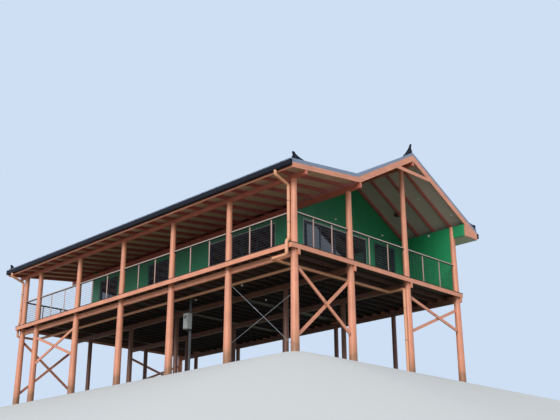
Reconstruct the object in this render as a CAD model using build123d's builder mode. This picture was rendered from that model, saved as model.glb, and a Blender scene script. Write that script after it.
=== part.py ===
from build123d import *
import os
from math import cos, hypot, radians, tan

# Stilt house with verandas, in millimetres.
# X runs along the long front, with the near gable at plus X. Y runs from the
# front veranda to the back. Z is up, and the poles stand on Z = 0.

# Grid of poles
bay = 3000
bay_count = 5
end_bay = 1150
veranda_depth = 2600
half_span = 2975
deck_height = 3420

# Round poles and posts
pole_foot_radius = 135
pole_taper = 0.0072
post_radius = 90
seat_gap = 0.3

# Floor frame
board = 25
joist_depth = 125
joist_width = 45
joist_spacing = 450
bearer_depth = 180
bearer_width = 90
bearer_shift = 50
rim_thick = 35
rim_front = 280
rim_near = 170
rim_far = 150
rim_back = 160
hole_gap = 5

# House box
wall = 100
near_inset = 2400
far_inset = 1100
door_head = 2150
near_door_start = 340
near_pier = 540
near_window_width = 1160
near_window_end = 500
side_door_start = 1030
side_door_width = 3600
side_window_end = 700
side_window_spacing = 3510
side_window_width = 1250
back_window_starts = (1500, 5400, 9300)
window_sill = 900

# Roof
low_pitch = 6.8
main_pitch = 29
rafter_seat = 2300
rafter_depth = 120
rafter_width = 45
rafter_spacing = 750
rafter_lead = 110
lining = 16
roof_skin = 80
ridge_gap = 4
verge = 560
eave_front = 600
eave_back = 800
front_beam_depth = 135
middle_beam_depth = 180
ridge_beam_depth = 150
beam_width = 90

# Roof edges
barge_thick = 30
barge_depth = 200
low_barge_depth = 165
tie_depth = 125
tie_drop = 540
tie_thick = 30
fascia_thick = 25
soffit_thick = 12
gutter_width = 120
gutter_height = 200
gutter_rise = 60
gutter_wall = 6
cap_width = 60
cap_height = 75
ridge_cap_width = 180
ridge_cap_thick = 25
fin_length = 420
fin_height = 250
ridge_fin_height = 350
fin_thick = 40
fin_hollow = 0.08

# Railing
rail_height = 1110
rail_thick = 40
rail_post = 50
rail_post_spacing = 1000
rod_count = 12
rod_size = 10

# Braces and stays
brace_thick = 40
brace_width = 100
brace_top_drop = 600
front_brace_bay = 3
front_brace_drops = (1730, 1730)
side_brace_drops = (2880, 2500)
back_brace_drops = (1875, 1450)
stay_radius = 8
stay_offset = 14
falling_stay_drops = (3150, 600)
rising_stay_drops = (1450, 2690)

# Pipes
pipe_radius = 50
pipe_gap = 5
pipe_bend = 80
swan_height = 1960
jog_height = 200
rim_bend_height = 50
outlet_drop = 130
drain_inset = 640
long_pipe_y = 800

# Doors and windows
frame_face = 45
leaf_thick = 35
leaf_gap = 9
leaf_lap = 40
leaf_rail = 60
door_clearance = 5
glass = 8
window_frame_face = 50
window_frame_depth = 80

# Meter box under the floor, on a post below one joist
meter_width = 260
meter_height = 550
meter_depth = 200
meter_post = 60
meter_joist = 14
meter_from_front = 1180
meter_drop = 890

# Places worked out from the sizes
pole_span = bay * bay_count + end_bay
near_x = pole_span / 2
far_x = -pole_span / 2
front_reach = eave_front + fascia_thick + gutter_width
back_reach = eave_back + fascia_thick + gutter_width
row_a = -(veranda_depth + 2 * half_span + back_reach - front_reach) / 2
row_b = row_a + veranda_depth
row_c = row_b + half_span
row_d = row_c + half_span
rows = (row_a, row_b, row_c, row_d)
front_pole_xs = [near_x - i * bay for i in range(bay_count + 1)] + [far_x]
inner_pole_xs = front_pole_xs[1:-1]

deck_top = deck_height
joist_top = deck_top - board
joist_bottom = joist_top - joist_depth
bearer_bottom = joist_bottom - bearer_depth

wall_near = near_x - near_inset
wall_far = far_x + far_inset
verge_near = near_x + verge
verge_far = far_x - verge
inner_verge = (verge_far + barge_thick, verge_near - barge_thick)
seat_a = deck_top + rafter_seat


def pole_radius(z):
    return pole_foot_radius - pole_taper * z


def low_line(y):
    return seat_a + (y - row_a) * tan(radians(low_pitch))


def front_line(y):
    return low_line(row_b) + (y - row_b) * tan(radians(main_pitch))


def back_line(y):
    return front_line(row_c) - (y - row_c) * tan(radians(main_pitch))


front_beam_top = low_line(row_a - beam_width / 2)
middle_beam_top = low_line(row_b - beam_width / 2)
ridge_beam_top = front_line(row_c - beam_width / 2)
wall_top = middle_beam_top - middle_beam_depth
back_wall_top = back_line(row_d + wall / 2)
eave_y = row_a - eave_front
back_eave_y = row_d + eave_back
eave_edge = eave_y - fascia_thick
back_edge = back_eave_y + fascia_thick
soffit_z = back_line(back_edge)
ceiling_low = rafter_depth
skin_low = rafter_depth + lining
skin_high = skin_low + roof_skin


def fill(x_span, y_span, z_span, mode=Mode.ADD):
    centre = (sum(x_span) / 2, sum(y_span) / 2, sum(z_span) / 2)
    with Locations(centre):
        Box(x_span[1] - x_span[0], y_span[1] - y_span[0], z_span[1] - z_span[0], mode=mode)


def profile(points):
    Polygon(*points, align=None)


def roof_band(line, pitch, y_span, low, high):
    # A parallelogram between two heights above a roof line, square to the slope
    slope = cos(radians(pitch))
    start, end = y_span
    profile([
        (start, line(start) + low / slope),
        (end, line(end) + low / slope),
        (end, line(end) + high / slope),
        (start, line(start) + high / slope),
    ])


def poles(places, bottom, top, gap=0, mode=Mode.ADD):
    # Tapered round poles between two heights, or the same poles cut out with a gap
    with Locations(*[(x, y, bottom) for x, y in places]):
        Cone(
            pole_radius(bottom) + gap,
            pole_radius(top) + gap,
            top - bottom,
            align=(Align.CENTER, Align.CENTER, Align.MIN),
            mode=mode,
        )


front_places = [(x, row_a) for x in front_pole_xs]
gable_places = [(x, y) for x in (near_x, far_x) for y in rows[1:]]

os.makedirs("parts", exist_ok=True)

# Poles, checked on one side to hold the bearers
bearer_spans = {y: (y + bearer_shift - bearer_width / 2, y + bearer_shift + bearer_width / 2) for y in rows}

with BuildPart() as front_poles:
    poles(front_places, 0, front_beam_top - front_beam_depth)
    fill((verge_far, verge_near), bearer_spans[row_a], (bearer_bottom, joist_bottom), Mode.SUBTRACT)
front_poles.part.label = "front_poles"
export_step(front_poles.part, "parts/front_poles.step")

gable_pole_tops = {row_b: wall_top, row_c: ridge_beam_top - ridge_beam_depth, row_d: back_wall_top}
with BuildPart() as gable_poles:
    for y, top in gable_pole_tops.items():
        poles([(near_x, y), (far_x, y)], 0, top)
        fill((verge_far, verge_near), bearer_spans[y], (bearer_bottom, joist_bottom), Mode.SUBTRACT)
gable_poles.part.label = "gable_poles"
export_step(gable_poles.part, "parts/gable_poles.step")

with BuildPart() as floor_posts:
    with Locations(*[(x, y + bearer_shift, 0) for x in inner_pole_xs for y in rows[1:]]):
        Cylinder(post_radius, bearer_bottom, align=(Align.CENTER, Align.CENTER, Align.MIN))
floor_posts.part.label = "floor_posts"
export_step(floor_posts.part, "parts/floor_posts.step")

# Floor frame
deck_x = (far_x - rim_far, near_x + rim_near)
deck_y = (row_a - rim_front, row_d + rim_back)
frame_x = (deck_x[0] + rim_thick, deck_x[1] - rim_thick)
frame_y = (deck_y[0] + rim_thick, deck_y[1] - rim_thick)

with BuildPart() as bearers:
    for span in bearer_spans.values():
        fill(deck_x, span, (bearer_bottom, joist_bottom))
bearers.part.label = "bearers"
export_step(bearers.part, "parts/bearers.step")


def clear_of_poles(x):
    reach = pole_radius(joist_bottom) + joist_width / 2 + hole_gap
    return all(abs(x - pole) > reach for pole in front_pole_xs)


joist_count = int((frame_x[1] - frame_x[0]) / joist_spacing)
joist_xs = [frame_x[1] - joist_spacing * (i + 0.5) for i in range(joist_count)]
joist_centre = (sum(frame_y) / 2, (joist_bottom + joist_top) / 2)
with BuildPart() as joists:
    with Locations(*[(x, *joist_centre) for x in joist_xs if clear_of_poles(x)]):
        Box(joist_width, frame_y[1] - frame_y[0], joist_depth)
joists.part.label = "joists"
export_step(joists.part, "parts/joists.step")

with BuildPart() as deck_rim:
    fill(deck_x, deck_y, (joist_bottom, deck_top))
    fill(frame_x, frame_y, (joist_bottom, deck_top), Mode.SUBTRACT)
deck_rim.part.label = "deck_rim"
export_step(deck_rim.part, "parts/deck_rim.step")

floor_x = (wall_far, wall_near)
floor_y = (row_b - wall / 2, row_d + wall / 2)
with BuildPart() as house_floor:
    fill(floor_x, floor_y, (joist_top, deck_top))
house_floor.part.label = "house_floor"
export_step(house_floor.part, "parts/house_floor.step")

with BuildPart() as veranda_deck:
    fill(frame_x, frame_y, (joist_top, deck_top))
    fill(floor_x, floor_y, (joist_top, deck_top), Mode.SUBTRACT)
    poles(front_places + gable_places, joist_bottom, deck_top, hole_gap, Mode.SUBTRACT)
veranda_deck.part.label = "veranda_deck"
export_step(veranda_deck.part, "parts/veranda_deck.step")

# Walls
side_y = (row_b - wall / 2, row_b + wall / 2)
back_y = (row_d - wall / 2, row_d + wall / 2)
inner_y = (side_y[1], back_y[0])
near_wall_x = (wall_near - wall, wall_near)
far_wall_x = (wall_far, wall_far + wall)
door_z = (deck_top, deck_top + door_head)
window_z = (deck_top + window_sill, deck_top + door_head)
side_door_x = (wall_near - side_door_start - side_door_width, wall_near - side_door_start)
near_window_y = (row_d - near_window_end - near_window_width, row_d - near_window_end)
near_door_y = (row_b + near_door_start, near_window_y[0] - near_pier)
side_window_starts = (wall_far + side_window_end + side_window_spacing, wall_far + side_window_end)
side_windows_x = [(start, start + side_window_width) for start in side_window_starts]
back_windows_x = [(wall_near - start - side_window_width, wall_near - start) for start in back_window_starts]

with BuildPart() as side_wall:
    fill((wall_far, side_door_x[0]), side_y, (deck_top, wall_top))
    fill((side_door_x[1], wall_near), side_y, (deck_top, wall_top))
    for window_x in side_windows_x:
        fill(window_x, side_y, window_z, Mode.SUBTRACT)
side_wall.part.label = "side_wall"
export_step(side_wall.part, "parts/side_wall.step")

with BuildPart() as near_wall:
    fill(near_wall_x, (inner_y[0], near_door_y[0]), (deck_top, wall_top))
    fill(near_wall_x, (near_door_y[1], inner_y[1]), (deck_top, wall_top))
    fill(near_wall_x, near_window_y, window_z, Mode.SUBTRACT)
near_wall.part.label = "near_wall"
export_step(near_wall.part, "parts/near_wall.step")

with BuildPart() as door_heads:
    fill(side_door_x, side_y, (door_z[1], wall_top))
    fill(near_wall_x, near_door_y, (door_z[1], wall_top))
door_heads.part.label = "door_heads"
export_step(door_heads.part, "parts/door_heads.step")


def gable_outline(base):
    # A gable wall face from its base to the ceiling, with a slot for the ridge beam
    rise = ceiling_low / cos(radians(main_pitch))
    profile([
        (inner_y[0], base),
        (inner_y[1], base),
        (inner_y[1], back_line(inner_y[1]) + rise),
        (row_c, front_line(row_c) + rise),
        (inner_y[0], front_line(inner_y[0]) + rise),
    ])


def ridge_slot(x_span):
    beam = beam_width / 2 + seat_gap
    low = ridge_beam_top - ridge_beam_depth
    fill(x_span, (row_c - beam, row_c + beam), (low, low + half_span), Mode.SUBTRACT)


with BuildPart() as near_gable:
    with BuildSketch(Plane.YZ.offset(near_wall_x[0])):
        gable_outline(wall_top)
    extrude(amount=wall)
    ridge_slot(near_wall_x)
near_gable.part.label = "near_gable"
export_step(near_gable.part, "parts/near_gable.step")

with BuildPart() as far_wall:
    with BuildSketch(Plane.YZ.offset(far_wall_x[0])):
        gable_outline(deck_top)
    extrude(amount=wall)
    ridge_slot(far_wall_x)
    fill(far_wall_x, near_window_y, window_z, Mode.SUBTRACT)
far_wall.part.label = "far_wall"
export_step(far_wall.part, "parts/far_wall.step")

with BuildPart() as back_wall:
    fill((wall_far, wall_near), back_y, (deck_top, back_wall_top))
    for window_x in back_windows_x:
        fill(window_x, back_y, window_z, Mode.SUBTRACT)
back_wall.part.label = "back_wall"
export_step(back_wall.part, "parts/back_wall.step")

# Wing wall beside the near gable pole, and the closed strips under both back verges
strip_z = (soffit_z - soffit_thick, back_wall_top)
with BuildPart() as wing_wall:
    fill((wall_near, near_x), back_y, (deck_top, back_wall_top))
    fill((near_x, inner_verge[1]), back_y, strip_z)
    fill((inner_verge[0], wall_far), back_y, strip_z)
    poles([(near_x, row_d), (far_x, row_d)], joist_bottom, back_wall_top, seat_gap, Mode.SUBTRACT)
wing_wall.part.label = "wing_wall"
export_step(wing_wall.part, "parts/wing_wall.step")

# Roof frame
with BuildPart() as roof_beams:
    for y, top, depth in (
        (row_a, front_beam_top, front_beam_depth),
        (row_b, middle_beam_top, middle_beam_depth),
        (row_c, ridge_beam_top, ridge_beam_depth),
    ):
        fill((verge_far, verge_near), (y - beam_width / 2, y + beam_width / 2), (top - depth, top))
roof_beams.part.label = "roof_beams"
export_step(roof_beams.part, "parts/roof_beams.step")

rafter_count = int((near_x - rafter_lead - inner_verge[0]) / rafter_spacing) + 1
rafter_xs = [near_x - rafter_lead - i * rafter_spacing for i in range(rafter_count)]
front_slope = (row_b, row_c - ridge_gap / 2)
back_slope = (row_c + ridge_gap / 2, back_eave_y)

with BuildPart() as veranda_rafters:
    for x in rafter_xs:
        with BuildSketch(Plane.YZ.offset(x - rafter_width / 2)):
            roof_band(low_line, low_pitch, (eave_y, row_b), 0, rafter_depth)
        extrude(amount=rafter_width)
veranda_rafters.part.label = "veranda_rafters"
export_step(veranda_rafters.part, "parts/veranda_rafters.step")

with BuildPart() as main_rafters:
    for x in rafter_xs:
        with BuildSketch(Plane.YZ.offset(x - rafter_width / 2)):
            roof_band(front_line, main_pitch, front_slope, 0, rafter_depth)
            roof_band(back_line, main_pitch, back_slope, 0, rafter_depth)
        extrude(amount=rafter_width)
main_rafters.part.label = "main_rafters"
export_step(main_rafters.part, "parts/main_rafters.step")

verge_run = inner_verge[1] - inner_verge[0]
with BuildPart() as veranda_ceiling:
    with BuildSketch(Plane.YZ.offset(inner_verge[0])):
        roof_band(low_line, low_pitch, (eave_y, row_b), ceiling_low, skin_low)
    extrude(amount=verge_run)
veranda_ceiling.part.label = "veranda_ceiling"
export_step(veranda_ceiling.part, "parts/veranda_ceiling.step")

with BuildPart() as main_ceiling:
    with BuildSketch(Plane.YZ.offset(inner_verge[0])):
        roof_band(front_line, main_pitch, front_slope, ceiling_low, skin_low)
        roof_band(back_line, main_pitch, back_slope, ceiling_low, skin_low)
    extrude(amount=verge_run)
main_ceiling.part.label = "main_ceiling"
export_step(main_ceiling.part, "parts/main_ceiling.step")

with BuildPart() as veranda_roof:
    with BuildSketch(Plane.YZ.offset(inner_verge[0])):
        roof_band(low_line, low_pitch, (eave_edge, row_b), skin_low, skin_high)
    extrude(amount=verge_run)
veranda_roof.part.label = "veranda_roof"
export_step(veranda_roof.part, "parts/veranda_roof.step")

with BuildPart() as main_roof:
    with BuildSketch(Plane.YZ.offset(inner_verge[0])):
        roof_band(front_line, main_pitch, front_slope, skin_low, skin_high)
        roof_band(back_line, main_pitch, (back_slope[0], back_edge), skin_low, skin_high)
    extrude(amount=verge_run)
main_roof.part.label = "main_roof"
export_step(main_roof.part, "parts/main_roof.step")


# Roof edges
def gable_edge(low_offset, main_offset):
    # The bent line of a verge at two heights above the rafter seats
    low_rise = low_offset / cos(radians(low_pitch))
    main_rise = main_offset / cos(radians(main_pitch))
    bend = (main_rise - low_rise) / (tan(radians(main_pitch)) - tan(radians(low_pitch)))
    return [
        (eave_edge, low_line(eave_edge) + low_rise),
        (row_b - bend, low_line(row_b - bend) + low_rise),
        (row_c, front_line(row_c) + main_rise),
        (back_edge, back_line(back_edge) + main_rise),
    ]


def gable_band(bottom, top, x, width):
    with BuildSketch(Plane.YZ.offset(x)) as band:
        profile(gable_edge(*bottom) + gable_edge(*top)[::-1])
    extrude(band.sketch, amount=width)


with BuildPart() as bargeboards:
    for x in (verge_far, verge_near - barge_thick):
        gable_band((0, 0), (low_barge_depth, barge_depth), x, barge_thick)
        with BuildSketch(Plane.YZ.offset(x)):
            profile([
                (back_edge, soffit_z),
                (back_y[1], soffit_z),
                (back_y[1], back_line(back_y[1])),
            ])
        extrude(amount=barge_thick)
bargeboards.part.label = "bargeboards"
export_step(bargeboards.part, "parts/bargeboards.step")

with BuildPart() as barge_caps:
    for x, inner_x in ((verge_far, verge_far), (verge_near - barge_thick, verge_near - cap_width)):
        gable_band((low_barge_depth, barge_depth), (skin_high, skin_high), x, barge_thick)
        gable_band((skin_high, skin_high), (skin_high + cap_height, skin_high + cap_height), inner_x, cap_width)
barge_caps.part.label = "barge_caps"
export_step(barge_caps.part, "parts/barge_caps.step")

tie_top = front_line(row_c) - tie_drop + tie_depth
tie_reach = (front_line(row_c) - tie_top) / tan(radians(main_pitch))
tie_foot = tie_reach + tie_depth / tan(radians(main_pitch))
with BuildPart() as gable_ties:
    for x in (verge_far, verge_near - tie_thick):
        with BuildSketch(Plane.YZ.offset(x)):
            profile([
                (row_c - tie_foot, tie_top - tie_depth),
                (row_c + tie_foot, tie_top - tie_depth),
                (row_c + tie_reach, tie_top),
                (row_c - tie_reach, tie_top),
            ])
        extrude(amount=tie_thick)
gable_ties.part.label = "gable_ties"
export_step(gable_ties.part, "parts/gable_ties.step")

low_skin_rise = skin_low / cos(radians(low_pitch))
main_skin_rise = skin_low / cos(radians(main_pitch))
front_fascia_z = (low_line(eave_edge), low_line(eave_edge) + low_skin_rise)
back_fascia_z = (soffit_z, soffit_z + main_skin_rise)
with BuildPart() as fascias:
    fill(inner_verge, (eave_edge, eave_y), front_fascia_z)
    fill(inner_verge, (back_eave_y, back_edge), back_fascia_z)
fascias.part.label = "fascias"
export_step(fascias.part, "parts/fascias.step")

with BuildPart() as gutters:
    for y, bottom in ((eave_edge - gutter_width, front_fascia_z[0]), (back_edge, back_fascia_z[0])):
        outer_y = (y, y + gutter_width)
        trough_y = (outer_y[0] + gutter_wall, outer_y[1] - gutter_wall)
        foot = bottom + gutter_rise
        fill((verge_far, verge_near), outer_y, (foot, foot + gutter_height))
        fill(
            (verge_far + gutter_wall, verge_near - gutter_wall),
            trough_y,
            (foot + gutter_wall, foot + gutter_height),
            Mode.SUBTRACT,
        )
gutters.part.label = "gutters"
export_step(gutters.part, "parts/gutters.step")

cap_run = (verge_far + cap_width, verge_near - cap_width)
with BuildPart() as ridge_cap:
    with BuildSketch(Plane.YZ.offset(cap_run[0])):
        left = row_c - ridge_cap_width
        right = row_c + ridge_cap_width
        low = skin_high / cos(radians(main_pitch))
        high = (skin_high + ridge_cap_thick) / cos(radians(main_pitch))
        profile([
            (left, front_line(left) + low),
            (row_c, front_line(row_c) + low),
            (right, back_line(right) + low),
            (right, back_line(right) + high),
            (row_c, front_line(row_c) + high),
            (left, front_line(left) + high),
        ])
    extrude(amount=cap_run[1] - cap_run[0])
ridge_cap.part.label = "ridge_cap"
export_step(ridge_cap.part, "parts/ridge_cap.step")


def fin(x, line, pitch, tip_y, tail_y, height):
    # A hollow-backed horn that rises from the verge cap over its upper or outer end
    rise = (skin_high + cap_height) / cos(radians(pitch))
    foot = (tip_y, line(tip_y) + rise)
    tail = (tail_y, line(tail_y) + rise)
    tip = (tip_y, foot[1] + height)
    chord = hypot(tail[0] - tip[0], tail[1] - tip[1])
    sag = -chord * fin_hollow if tail_y > tip_y else chord * fin_hollow
    with BuildSketch(Plane.YZ.offset(x)) as horn:
        with BuildLine():
            Line(tail, foot)
            Line(foot, tip)
            SagittaArc(tip, tail, sag)
        make_face()
    extrude(horn.sketch, amount=fin_thick)


with BuildPart() as finials:
    for x in (verge_far + (cap_width - fin_thick) / 2, verge_near - (cap_width + fin_thick) / 2):
        fin(x, front_line, main_pitch, row_c, row_c - fin_length, ridge_fin_height)
        fin(x, low_line, low_pitch, eave_edge, eave_edge + fin_length, fin_height)
        fin(x, back_line, main_pitch, back_edge, back_edge - fin_length, fin_height)
finials.part.label = "finials"
export_step(finials.part, "parts/finials.step")

with BuildPart() as eave_soffit:
    fill(inner_verge, (back_y[1], back_edge), (soffit_z - soffit_thick, soffit_z))
    poles([(near_x, row_d), (far_x, row_d)], joist_bottom, back_wall_top, seat_gap, Mode.SUBTRACT)
eave_soffit.part.label = "eave_soffit"
export_step(eave_soffit.part, "parts/eave_soffit.step")

# Railings: a panel between each pair of poles, scribed to the round poles
rail_z = (deck_top + rail_height - rail_thick, deck_top + rail_height)
rod_pitch = (rail_height - rail_thick) / (rod_count + 1)
rod_zs = [deck_top + rod_pitch * (i + 1) for i in range(rod_count)]
post_z = (deck_top + rail_z[0]) / 2


def rail_panel(start, end):
    # A top rail, flat posts and thin rods from one pole to the next
    along_x = start[1] == end[1]
    run = hypot(end[0] - start[0], end[1] - start[1])
    middle = ((start[0] + end[0]) / 2, (start[1] + end[1]) / 2)
    post_count = round(run / rail_post_spacing) - 1
    turn = 0 if along_x else 90
    with Locations(Location((*middle, 0), (0, 0, turn))):
        with Locations((0, 0, sum(rail_z) / 2)):
            Box(run, rail_thick, rail_thick)
        if post_count > 0:
            step = run / (post_count + 1)
            with Locations(*[((i + 1) * step - run / 2, 0, post_z) for i in range(post_count)]):
                Box(rail_post, rail_post, rail_z[0] - deck_top)
        with Locations(*[(0, 0, z) for z in rod_zs]):
            Box(run, rod_size, rod_size)


with BuildPart() as front_railing:
    for start, end in zip(front_places, front_places[1:]):
        rail_panel(start, end)
    poles(front_places, joist_bottom, rail_z[1], seat_gap, Mode.SUBTRACT)
front_railing.part.label = "front_railing"
export_step(front_railing.part, "parts/front_railing.step")

with BuildPart() as end_railings:
    for x in (near_x, far_x):
        for start, end in zip(rows, rows[1:]):
            rail_panel((x, start), (x, end))
    poles([(x, y) for x in (near_x, far_x) for y in rows], joist_bottom, rail_z[1], seat_gap, Mode.SUBTRACT)
end_railings.part.label = "end_railings"
export_step(end_railings.part, "parts/end_railings.step")


# Cross braces: falling boards on one face of the pole line and rising ones on the other
def brace(plane, start, end, side):
    # A board between two pole centres, given as along and up in the plane
    run = hypot(end[0] - start[0], end[1] - start[1])
    half = brace_width / 2 * run / abs(end[0] - start[0])
    with BuildSketch(plane) as board_face:
        profile([
            (start[0], start[1] - half),
            (end[0], end[1] - half),
            (end[0], end[1] + half),
            (start[0], start[1] + half),
        ])
    extrude(board_face.sketch, amount=brace_thick * side)


def brace_set(side):
    top = deck_top - brace_top_drop
    front = Plane.XZ.offset(-row_a)
    left, right = front_pole_xs[front_brace_bay + 2], front_pole_xs[front_brace_bay + 1]
    feet = [deck_top - drop for drop in front_brace_drops]
    if side > 0:
        brace(front, (left, top), (right, feet[1]), side)
    else:
        brace(front, (left, feet[0]), (right, top), side)
    for x in (near_x, far_x):
        gable = Plane.YZ.offset(x)
        for start, end, drops in ((row_a, row_b, side_brace_drops), (row_c, row_d, back_brace_drops)):
            feet = [deck_top - drop for drop in drops]
            if side > 0:
                brace(gable, (start, top), (end, feet[1]), side)
            else:
                brace(gable, (start, feet[0]), (end, top), side)
    poles(front_places + gable_places, 0, deck_top, seat_gap, Mode.SUBTRACT)


with BuildPart() as falling_braces:
    brace_set(1)
falling_braces.part.label = "falling_braces"
export_step(falling_braces.part, "parts/falling_braces.step")

with BuildPart() as rising_braces:
    brace_set(-1)
rising_braces.part.label = "rising_braces"
export_step(rising_braces.part, "parts/rising_braces.step")


def stay(drops, offset):
    # A straight steel stay between the first two front poles
    start = Vector(near_x, row_a + offset, deck_top - drops[0])
    end = Vector(near_x - bay, row_a + offset, deck_top - drops[1])
    with BuildSketch(Plane(origin=start, z_dir=end - start)) as section:
        Circle(stay_radius)
    extrude(section.sketch, amount=(end - start).length)


with BuildPart() as tie_rods:
    stay(falling_stay_drops, -stay_offset)
    stay(rising_stay_drops, stay_offset)
    poles(front_places[:2], 0, deck_top, seat_gap, Mode.SUBTRACT)
tie_rods.part.label = "tie_rods"
export_step(tie_rods.part, "parts/tie_rods.step")

# Rain pipes, each a single run from its gutter outlet
pipe_side = pole_radius(bearer_bottom) + pipe_gap + pipe_radius
foot_pipe_side = pole_foot_radius + pipe_gap + pipe_radius
corner_pipe_side = pipe_side * cos(radians(45))
pole_pipe = (near_x - corner_pipe_side, row_a - corner_pipe_side)
rim_pipe_y = deck_y[0] - pipe_gap - pipe_radius
outlet_y = eave_edge - gutter_width / 2
outlet_z = front_fascia_z[0] + gutter_rise
pipe_z = bearer_bottom - pipe_gap - pipe_radius
drain_x = near_x - drain_inset


def pipe(points):
    with BuildLine() as path:
        FilletPolyline(*points, radius=pipe_bend)
    with BuildSketch(Plane(origin=path.line @ 0, z_dir=path.line % 0)) as section:
        Circle(pipe_radius)
    sweep(section.sketch, path=path.line)


with BuildPart() as near_rain_pipe:
    pipe([
        (pole_pipe[0], outlet_y, outlet_z),
        (pole_pipe[0], outlet_y, outlet_z - outlet_drop),
        (*pole_pipe, deck_top + swan_height),
        (*pole_pipe, deck_top + jog_height),
        (near_x, rim_pipe_y, deck_top + rim_bend_height),
        (near_x, rim_pipe_y, pipe_z),
        (drain_x, rim_pipe_y, pipe_z),
        (drain_x, row_c - foot_pipe_side, pipe_z),
        (near_x, row_c - foot_pipe_side, pipe_z),
        (near_x, row_c - foot_pipe_side, 0),
    ])
near_rain_pipe.part.label = "near_rain_pipe"
export_step(near_rain_pipe.part, "parts/near_rain_pipe.step")

drain_y = row_a + long_pipe_y
far_pipe = (far_x - corner_pipe_side, row_a - corner_pipe_side)
rim_pipe_x = deck_x[0] - pipe_gap - pipe_radius
with BuildPart() as far_rain_pipe:
    pipe([
        (far_pipe[0], outlet_y, outlet_z),
        (far_pipe[0], outlet_y, outlet_z - outlet_drop),
        (*far_pipe, deck_top + swan_height),
        (*far_pipe, deck_top + jog_height),
        (rim_pipe_x, far_pipe[1], deck_top + rim_bend_height),
        (rim_pipe_x, far_pipe[1], pipe_z),
        (rim_pipe_x, drain_y, pipe_z),
        (drain_x - pipe_radius, drain_y, pipe_z),
    ])
far_rain_pipe.part.label = "far_rain_pipe"
export_step(far_rain_pipe.part, "parts/far_rain_pipe.step")

# Meter box on its own steel post
meter_x = joist_xs[meter_joist]
meter_y = row_a + meter_from_front
meter_top = deck_top - meter_drop
with BuildPart() as meter_box:
    fill(
        (meter_x - meter_width / 2, meter_x + meter_width / 2),
        (meter_y - meter_depth, meter_y),
        (meter_top - meter_height, meter_top),
    )
    fill(
        (meter_x - meter_post / 2, meter_x + meter_post / 2),
        (meter_y, meter_y + meter_post),
        (0, joist_bottom),
    )
meter_box.part.label = "meter_box"
export_step(meter_box.part, "parts/meter_box.step")


# Doorway frames, windows and leaves
def ring(outer, face, depth, plane):
    # A rectangular frame drawn on a plane: outer is ((u0, u1), (v0, v1))
    (u0, u1), (v0, v1) = outer
    with BuildSketch(plane) as outline:
        with Locations(((u0 + u1) / 2, (v0 + v1) / 2)):
            Rectangle(u1 - u0, v1 - v0)
            Rectangle(u1 - u0 - 2 * face, v1 - v0 - 2 * face, mode=Mode.SUBTRACT)
    extrude(outline.sketch, amount=depth)


def pane(outer, face, depth, plane):
    # The glass inside a frame of the same outline
    (u0, u1), (v0, v1) = outer
    with BuildSketch(plane) as outline:
        with Locations(((u0 + u1) / 2, (v0 + v1) / 2)):
            Rectangle(u1 - u0 - 2 * face, v1 - v0 - 2 * face)
    extrude(outline.sketch, amount=depth)


with BuildPart() as door_frames:
    ring((side_door_x, door_z), frame_face, wall, Plane.XZ.offset(-side_y[1]))
    ring((near_door_y, door_z), frame_face, wall, Plane.YZ.offset(near_wall_x[0]))
door_frames.part.label = "door_frames"
export_step(door_frames.part, "parts/door_frames.step")

leaf_z = (door_z[0] + frame_face, door_z[1] - frame_face)


def leaf_spans(opening):
    # Four leaves in a doorway: two fixed at the sides, two that slide from the middle
    low, high = opening[0] + frame_face, opening[1] - frame_face
    middle = (low + high) / 2
    width = (high - low) / 4 + leaf_lap
    meet = door_clearance / 2
    fixed = [(low, low + width), (high - width, high)]
    sliding = [(middle - meet - width, middle - meet), (middle + meet, middle + meet + width)]
    return fixed, sliding


# Leaves stand in two tracks: the fixed ones outside, the sliding ones inside
side_fixed, side_sliding = leaf_spans(side_door_x)
near_fixed, near_sliding = leaf_spans(near_door_y)
outer_track = leaf_gap / 2
inner_track = leaf_gap / 2 + leaf_thick
glass_inset = (leaf_thick - glass) / 2
side_outer = Plane.XZ.offset(-row_b + outer_track)
side_inner = Plane.XZ.offset(-row_b - inner_track)
near_centre_x = sum(near_wall_x) / 2
near_outer = Plane.YZ.offset(near_centre_x + outer_track)
near_inner = Plane.YZ.offset(near_centre_x - inner_track)

with BuildPart() as fixed_leaves:
    for span in side_fixed:
        ring((span, leaf_z), leaf_rail, leaf_thick, side_outer)
    for span in near_fixed:
        ring((span, leaf_z), leaf_rail, leaf_thick, near_outer)
fixed_leaves.part.label = "fixed_leaves"
export_step(fixed_leaves.part, "parts/fixed_leaves.step")

window_plane_depth = (wall - window_frame_depth) / 2
side_window_plane = Plane.XZ.offset(-side_y[1] + window_plane_depth)
back_window_plane = Plane.XZ.offset(-back_y[1] + window_plane_depth)
near_window_plane = Plane.YZ.offset(near_wall_x[0] + window_plane_depth)
far_window_plane = Plane.YZ.offset(far_wall_x[0] + window_plane_depth)
windows = [((span, window_z), side_window_plane) for span in side_windows_x]
windows += [((span, window_z), back_window_plane) for span in back_windows_x]
windows += [((near_window_y, window_z), near_window_plane), ((near_window_y, window_z), far_window_plane)]

with BuildPart() as window_frames:
    for outer, plane in windows:
        ring(outer, window_frame_face, window_frame_depth, plane)
window_frames.part.label = "window_frames"
export_step(window_frames.part, "parts/window_frames.step")

with BuildPart() as fixed_glass:
    for outer, plane in windows:
        pane(outer, window_frame_face, glass, plane.offset((window_frame_depth - glass) / 2))
    for span in side_fixed:
        pane((span, leaf_z), leaf_rail, glass, side_outer.offset(glass_inset))
    for span in near_fixed:
        pane((span, leaf_z), leaf_rail, glass, near_outer.offset(glass_inset))
fixed_glass.part.label = "fixed_glass"
export_step(fixed_glass.part, "parts/fixed_glass.step")

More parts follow.
